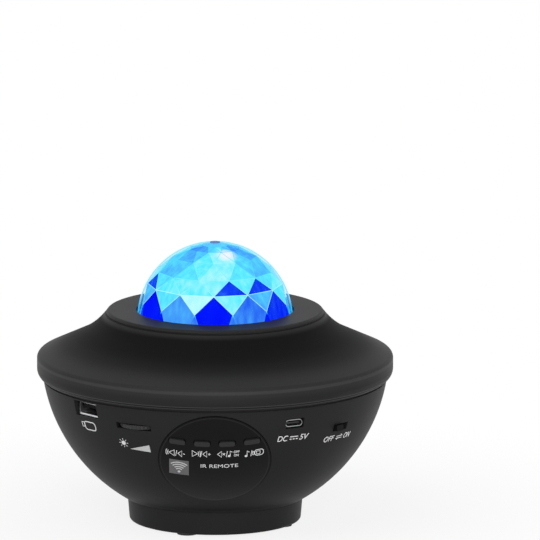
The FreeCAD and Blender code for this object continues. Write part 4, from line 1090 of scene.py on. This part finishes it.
class PROJECTOR_OT_print_panel(Operator):
    """Prints the icons under the buttons and beside the receiver's window"""

    bl_idname = "projector.print_panel"
    bl_label = "Panel print"

    # The icons' half height, the widths of their lines, and how high the middle and outer groups stand
    icon_half = 1.7
    stroke = 0.35
    fine_stroke = 0.3
    inner = 6.5
    outer = 5.6

    def speaker(self, stencil, left, y):
        right, half = left + 2.1, self.icon_half
        stencil.line([(right, y - half), (right, y + half), (left + 0.3, y)], self.stroke, True)

    def slash(self, stencil, x, y):
        ends = [(x - 0.3, y - self.icon_half), (x + 0.3, y + self.icon_half)]
        stencil.line(ends, self.fine_stroke)

    def skip(self, stencil, base, y, way):
        """An outlined triangle with two curved bars before its tip, looking left or right."""
        half = self.icon_half
        corners = [(base, y - half), (base, y + half), (base + 2.5 * way, y)]
        stencil.line(corners, self.stroke, True)
        turn = 0 if way > 0 else 180
        for radius in (2.9, 3.7):
            stencil.line(arc(base + 0.2 * way, y, radius, turn - 27, turn + 27, 6), self.fine_stroke)

    def cross(self, stencil, x, y):
        for lean in (-1, 1):
            stencil.line([(x - 0.6 * lean, y - 0.6), (x + 0.6 * lean, y + 0.6)], 0.34)

    def plus(self, stencil, x, y):
        stencil.bar(x, y, 1.2, 0.36)
        stencil.bar(x, y, 0.36, 1.2)

    def note(self, stencil, x, y):
        stencil.disc(x - 0.5, y - 1.2, 0.62)
        stencil.line([(x, y - 1.2), (x, y + 1.7), (x + 1.0, y + 0.9)], 0.34)

    def stick(self, stencil, x, y):
        stencil.line(rounded_box(x, y, 4.1, 3.3, 1.3), self.stroke, True)
        stencil.line(rounded_box(x - 0.4, y, 1.7, 1.7, 0.2), 0.26, True)
        stencil.line(rounded_box(x - 2.7, y, 0.7, 1.9, 0.2), 0.26, True)

    def icons(self):
        """The icons of the four buttons, from left to right, with places in millimetres on the panel."""
        icons = Stencil()
        self.skip(icons, -18.9, self.outer, -1)
        self.slash(icons, -18.0, self.outer)
        self.speaker(icons, -17.5, self.outer)
        icons.bar(-14.4, self.outer, 0.9, 0.4)
        self.skip(icons, -10.5, self.inner, 1)
        self.slash(icons, -6.3, self.inner)
        self.speaker(icons, -5.8, self.inner)
        self.plus(icons, -2.5, self.inner)
        self.speaker(icons, 1.1, self.inner)
        self.cross(icons, 4.3, self.inner)
        self.slash(icons, 5.7, self.inner)
        self.note(icons, 7.3, self.inner)
        icons.letters("OFF", 10.3, self.inner + 1.0, 2.8, 1.3, bold=0.02)
        icons.letters("ON", 10.1, self.inner - 1.0, 2.2, 1.3, bold=0.02)
        self.note(icons, 15.2, self.outer)
        self.slash(icons, 17.2, self.outer)
        self.stick(icons, 20.8, self.outer)
        return icons

    def receiver_arcs(self):
        """A dot with four arcs above it."""
        x, base, width = -16.7, -5.7, 0.6
        arcs = Stencil()
        arcs.disc(x, base, 0.66)
        for radius, spread in ((1.9, 44), (3.2, 40), (4.6, 40), (5.9, 40)):
            arcs.line(arc(x, base, radius, 90 - spread, 90 + spread, 12), width)
        return arcs

    def execute(self, context):
        look = context.scene.projector_print
        place = on_panel(look.lift)
        self.icons().wrap("print_buttons", place, look, ink("panel_ink", look.ink))
        words = Stencil()
        words.letters("IR REMOTE", 2.2, -0.7, 17.5, 2.1)
        words.wrap("print_remote", place, look, ink("label_ink", look.ink))
        self.receiver_arcs().wrap("print_receiver", place, look, ink("window_ink", look.window_ink))
        return {"FINISHED"}


class PROJECTOR_OT_print_bowl(Operator):
    """Prints the marks under the sockets, the dial and the switch"""

    bl_idname = "projector.print_bowl"
    bl_label = "Bowl print"

    # Height in millimetres, slant and boldness of the lettering
    letter_height = 3.0
    slant = 0.18
    bold = 0.01

    def word(self, stencil, letters, x, width):
        stencil.letters(letters, x, 0, width, self.letter_height, self.slant, self.bold)

    def memory_stick(self):
        mark = Stencil()
        mark.line(rounded_box(0.9, 0.0, 7.4, 4.2, 1.4), 0.5, True)
        mark.line(rounded_box(-3.8, 0.4, 1.7, 2.3, 0.3), 0.42, True)
        return mark

    def sun(self):
        mark = Stencil()
        mark.disc(0, 0, 1.15)
        for index in range(8):
            turn = math.radians(index * 45)
            ray = Vector((math.cos(turn), math.sin(turn)))
            mark.line([ray * 1.6, ray * 2.5], 0.26)
        return mark

    def wedge(self):
        mark = Stencil()
        mark.cut([Vector((-5.4, 0.1)), Vector((5.4, -0.7)), Vector((5.2, 3.3))])
        return mark

    def power(self):
        """DC, a bar over three dashes for direct current, and 5V."""
        mark = Stencil()
        middle, level, thick = 0.4, 0.65, 0.5
        self.word(mark, "DC", -5.4, 5.4)
        mark.bar(middle, level, 4.2, thick)
        for step in (-1.6, 0, 1.6):
            mark.bar(middle + step, -level, 1.0, thick)
        self.word(mark, "5V", 6.0, 5.0)
        return mark

    def switch(self):
        """OFF and ON with an arrow each way between them."""
        mark = Stencil()
        middle = 0.8
        self.word(mark, "OFF", -6.1, 6.7)
        self.word(mark, "ON", 6.9, 5.0)
        for way in (-1, 1):
            y = 0.55 * way
            tip = middle + 2.4 * way
            back = tip - 1.4 * way
            mark.line([(middle - 2.0 * way, y), (back, y)], 0.42)
            mark.cut([Vector((tip, y)), Vector((back, y + 1.0 * way)), Vector((back, y - 0.25 * way))])
        return mark

    def execute(self, context):
        look = context.scene.projector_print
        paint = ink("bowl_ink", look.ink)
        faint = ink("wedge_ink", look.window_ink)
        self.memory_stick().wrap("print_memory_stick", on_bowl(-49.2, 56.0, look.lift), look, paint)
        self.sun().wrap("print_sun", on_bowl(-34.2, 50.4, look.lift), look, paint)
        self.wedge().wrap("print_wedge", on_bowl(-27.8, 47.6, look.lift), look, faint)
        self.power().wrap("print_power", on_bowl(28.4, 53.9, look.lift), look, paint)
        self.switch().wrap("print_switch", on_bowl(49.6, 50.3, look.lift), look, paint)
        return {"FINISHED"}


class PROJECTOR_OT_set_stage(Operator):
    """Sets up the pale floor, the soft studio lamps and the camera"""

    bl_idname = "projector.set_stage"
    bl_label = "Stage"

    def floor(self, look):
        """A pale floor that looks white, less so by the object, where its shadow shows."""
        below = (0, 0, -0.05 * MM)
        bpy.ops.object.select_all(action="DESELECT")
        bpy.ops.mesh.primitive_circle_add(vertices=96, radius=14, fill_type="NGON", location=below)
        floor = bpy.context.view_layer.objects.active
        floor.name = "floor"
        graph = Graph("pale_floor")
        dapple = graph.noise(60.0, 2.0)
        paint = graph.shade(look.floor_colour, 0.985, dapple)
        matt = graph.shader(paint, 0.85, Specular_IOR_Level=0.2)
        white = graph.node("ShaderNodeEmission", None, {"Color": WHITE, "Strength": 1.0}, "Emission")
        seen = graph.ray("Is Camera Ray") + graph.ray("Is Glossy Ray") + graph.ray("Is Transmission Ray")
        whiteness = 0.84 + graph.off_axis().rise(70.0, 260.0) * 0.16
        both = {0: graph.maths("MINIMUM", seen, 1.0) * whiteness, 1: matt, 2: white}
        floor.data.materials.append(graph.finish(graph.node("ShaderNodeMixShader", None, both)))

    def lamp(self, name, place, size, power):
        """A round soft lamp that looks at the object's middle."""
        data = bpy.data.lights.new(name, "AREA")
        data.shape = "DISK"
        data.size = size
        data.energy = power
        lamp = bpy.data.objects.new(name, data)
        lamp.location = place
        toward = Vector((0, 0, 0.07)) - Vector(place)
        lamp.rotation_euler = toward.to_track_quat("-Z", "Y").to_euler()
        bpy.context.scene.collection.objects.link(lamp)

    def sky(self, look):
        """Even daylight, which the camera, gloss and glass see as white."""
        world = bpy.data.worlds.new("studio")
        bpy.context.scene.world = world
        world.use_nodes = True
        tree = world.node_tree
        tree.nodes.clear()
        path = tree.nodes.new("ShaderNodeLightPath")
        either = path.outputs["Is Camera Ray"]
        for kind in ("Is Glossy Ray", "Is Transmission Ray"):
            larger = tree.nodes.new("ShaderNodeMath")
            larger.operation = "MAXIMUM"
            tree.links.new(either, larger.inputs[0])
            tree.links.new(path.outputs[kind], larger.inputs[1])
            either = larger.outputs[0]
        strength = tree.nodes.new("ShaderNodeMapRange")
        strength.inputs["To Min"].default_value = look.daylight
        strength.inputs["To Max"].default_value = 1
        tree.links.new(either, strength.inputs["Value"])
        plain = tree.nodes.new("ShaderNodeBackground")
        plain.inputs["Color"].default_value = WHITE
        tree.links.new(strength.outputs["Result"], plain.inputs["Strength"])
        output = tree.nodes.new("ShaderNodeOutputWorld")
        tree.links.new(plain.outputs[0], output.inputs["Surface"])

    def camera(self, look):
        """A camera in front of the object, looking down a little at the aim."""
        data = bpy.data.cameras.new("camera")
        data.lens = look.camera_lens
        data.sensor_width = 36
        camera = bpy.data.objects.new("camera", data)
        out = math.cos(look.camera_elevation) * look.camera_distance
        rise = math.sin(look.camera_elevation) * look.camera_distance
        camera.location = Vector(look.aim) + Vector((0, -out, rise))
        camera.rotation_euler = (math.pi / 2 - look.camera_elevation, 0, 0)
        bpy.context.scene.collection.objects.link(camera)
        bpy.context.scene.camera = camera

    def execute(self, context):
        look = context.scene.projector_stage
        self.floor(look)
        self.lamp("top_lamp", (-0.5, -0.9, 1.7), 1.3, 9)
        self.lamp("left_lamp", (-1.9, -0.7, 0.7), 1.0, 3.5)
        self.lamp("right_lamp", (1.9, -0.5, 0.7), 1.0, 3.5)
        self.lamp("front_lamp", (0.15, -2.3, 0.75), 0.8, 26)
        self.sky(look)
        self.camera(look)
        context.scene.view_settings.view_transform = "Standard"
        return {"FINISHED"}


OPERATORS = (
    PROJECTOR_OT_dress_outside,
    PROJECTOR_OT_dress_inside,
    PROJECTOR_OT_light_dome,
    PROJECTOR_OT_print_panel,
    PROJECTOR_OT_print_bowl,
    PROJECTOR_OT_set_stage,
)
LOOKS = {
    "projector_housing": HousingLook,
    "projector_dome": DomeLook,
    "projector_print": PrintLook,
    "projector_stage": StageLook,
}


class VIEW3D_PT_projector(Panel):
    """The projector's steps and sizes"""

    bl_idname = "VIEW3D_PT_projector"
    bl_label = "Night light projector"
    bl_space_type = "VIEW_3D"
    bl_region_type = "UI"
    bl_category = "Projector"

    def draw(self, context):
        for operator in OPERATORS:
            self.layout.operator(operator.bl_idname)
        for name, look in LOOKS.items():
            for key in look.__annotations__:
                self.layout.prop(getattr(context.scene, name), key)


def register():
    for look in LOOKS.values():
        bpy.utils.register_class(look)
    for name, look in LOOKS.items():
        setattr(bpy.types.Scene, name, PointerProperty(type=look))
    for operator in OPERATORS:
        bpy.utils.register_class(operator)
    bpy.utils.register_class(VIEW3D_PT_projector)


def unregister():
    bpy.utils.unregister_class(VIEW3D_PT_projector)
    for operator in reversed(OPERATORS):
        bpy.utils.unregister_class(operator)
    for name, look in LOOKS.items():
        delattr(bpy.types.Scene, name)
        bpy.utils.unregister_class(look)


def main():
    register()
    bpy.ops.projector.dress_outside()
    bpy.ops.projector.dress_inside()
    bpy.ops.projector.light_dome()
    bpy.ops.projector.print_panel()
    bpy.ops.projector.print_bowl()
    bpy.ops.projector.set_stage()


if __name__ == "__main__":
    main()
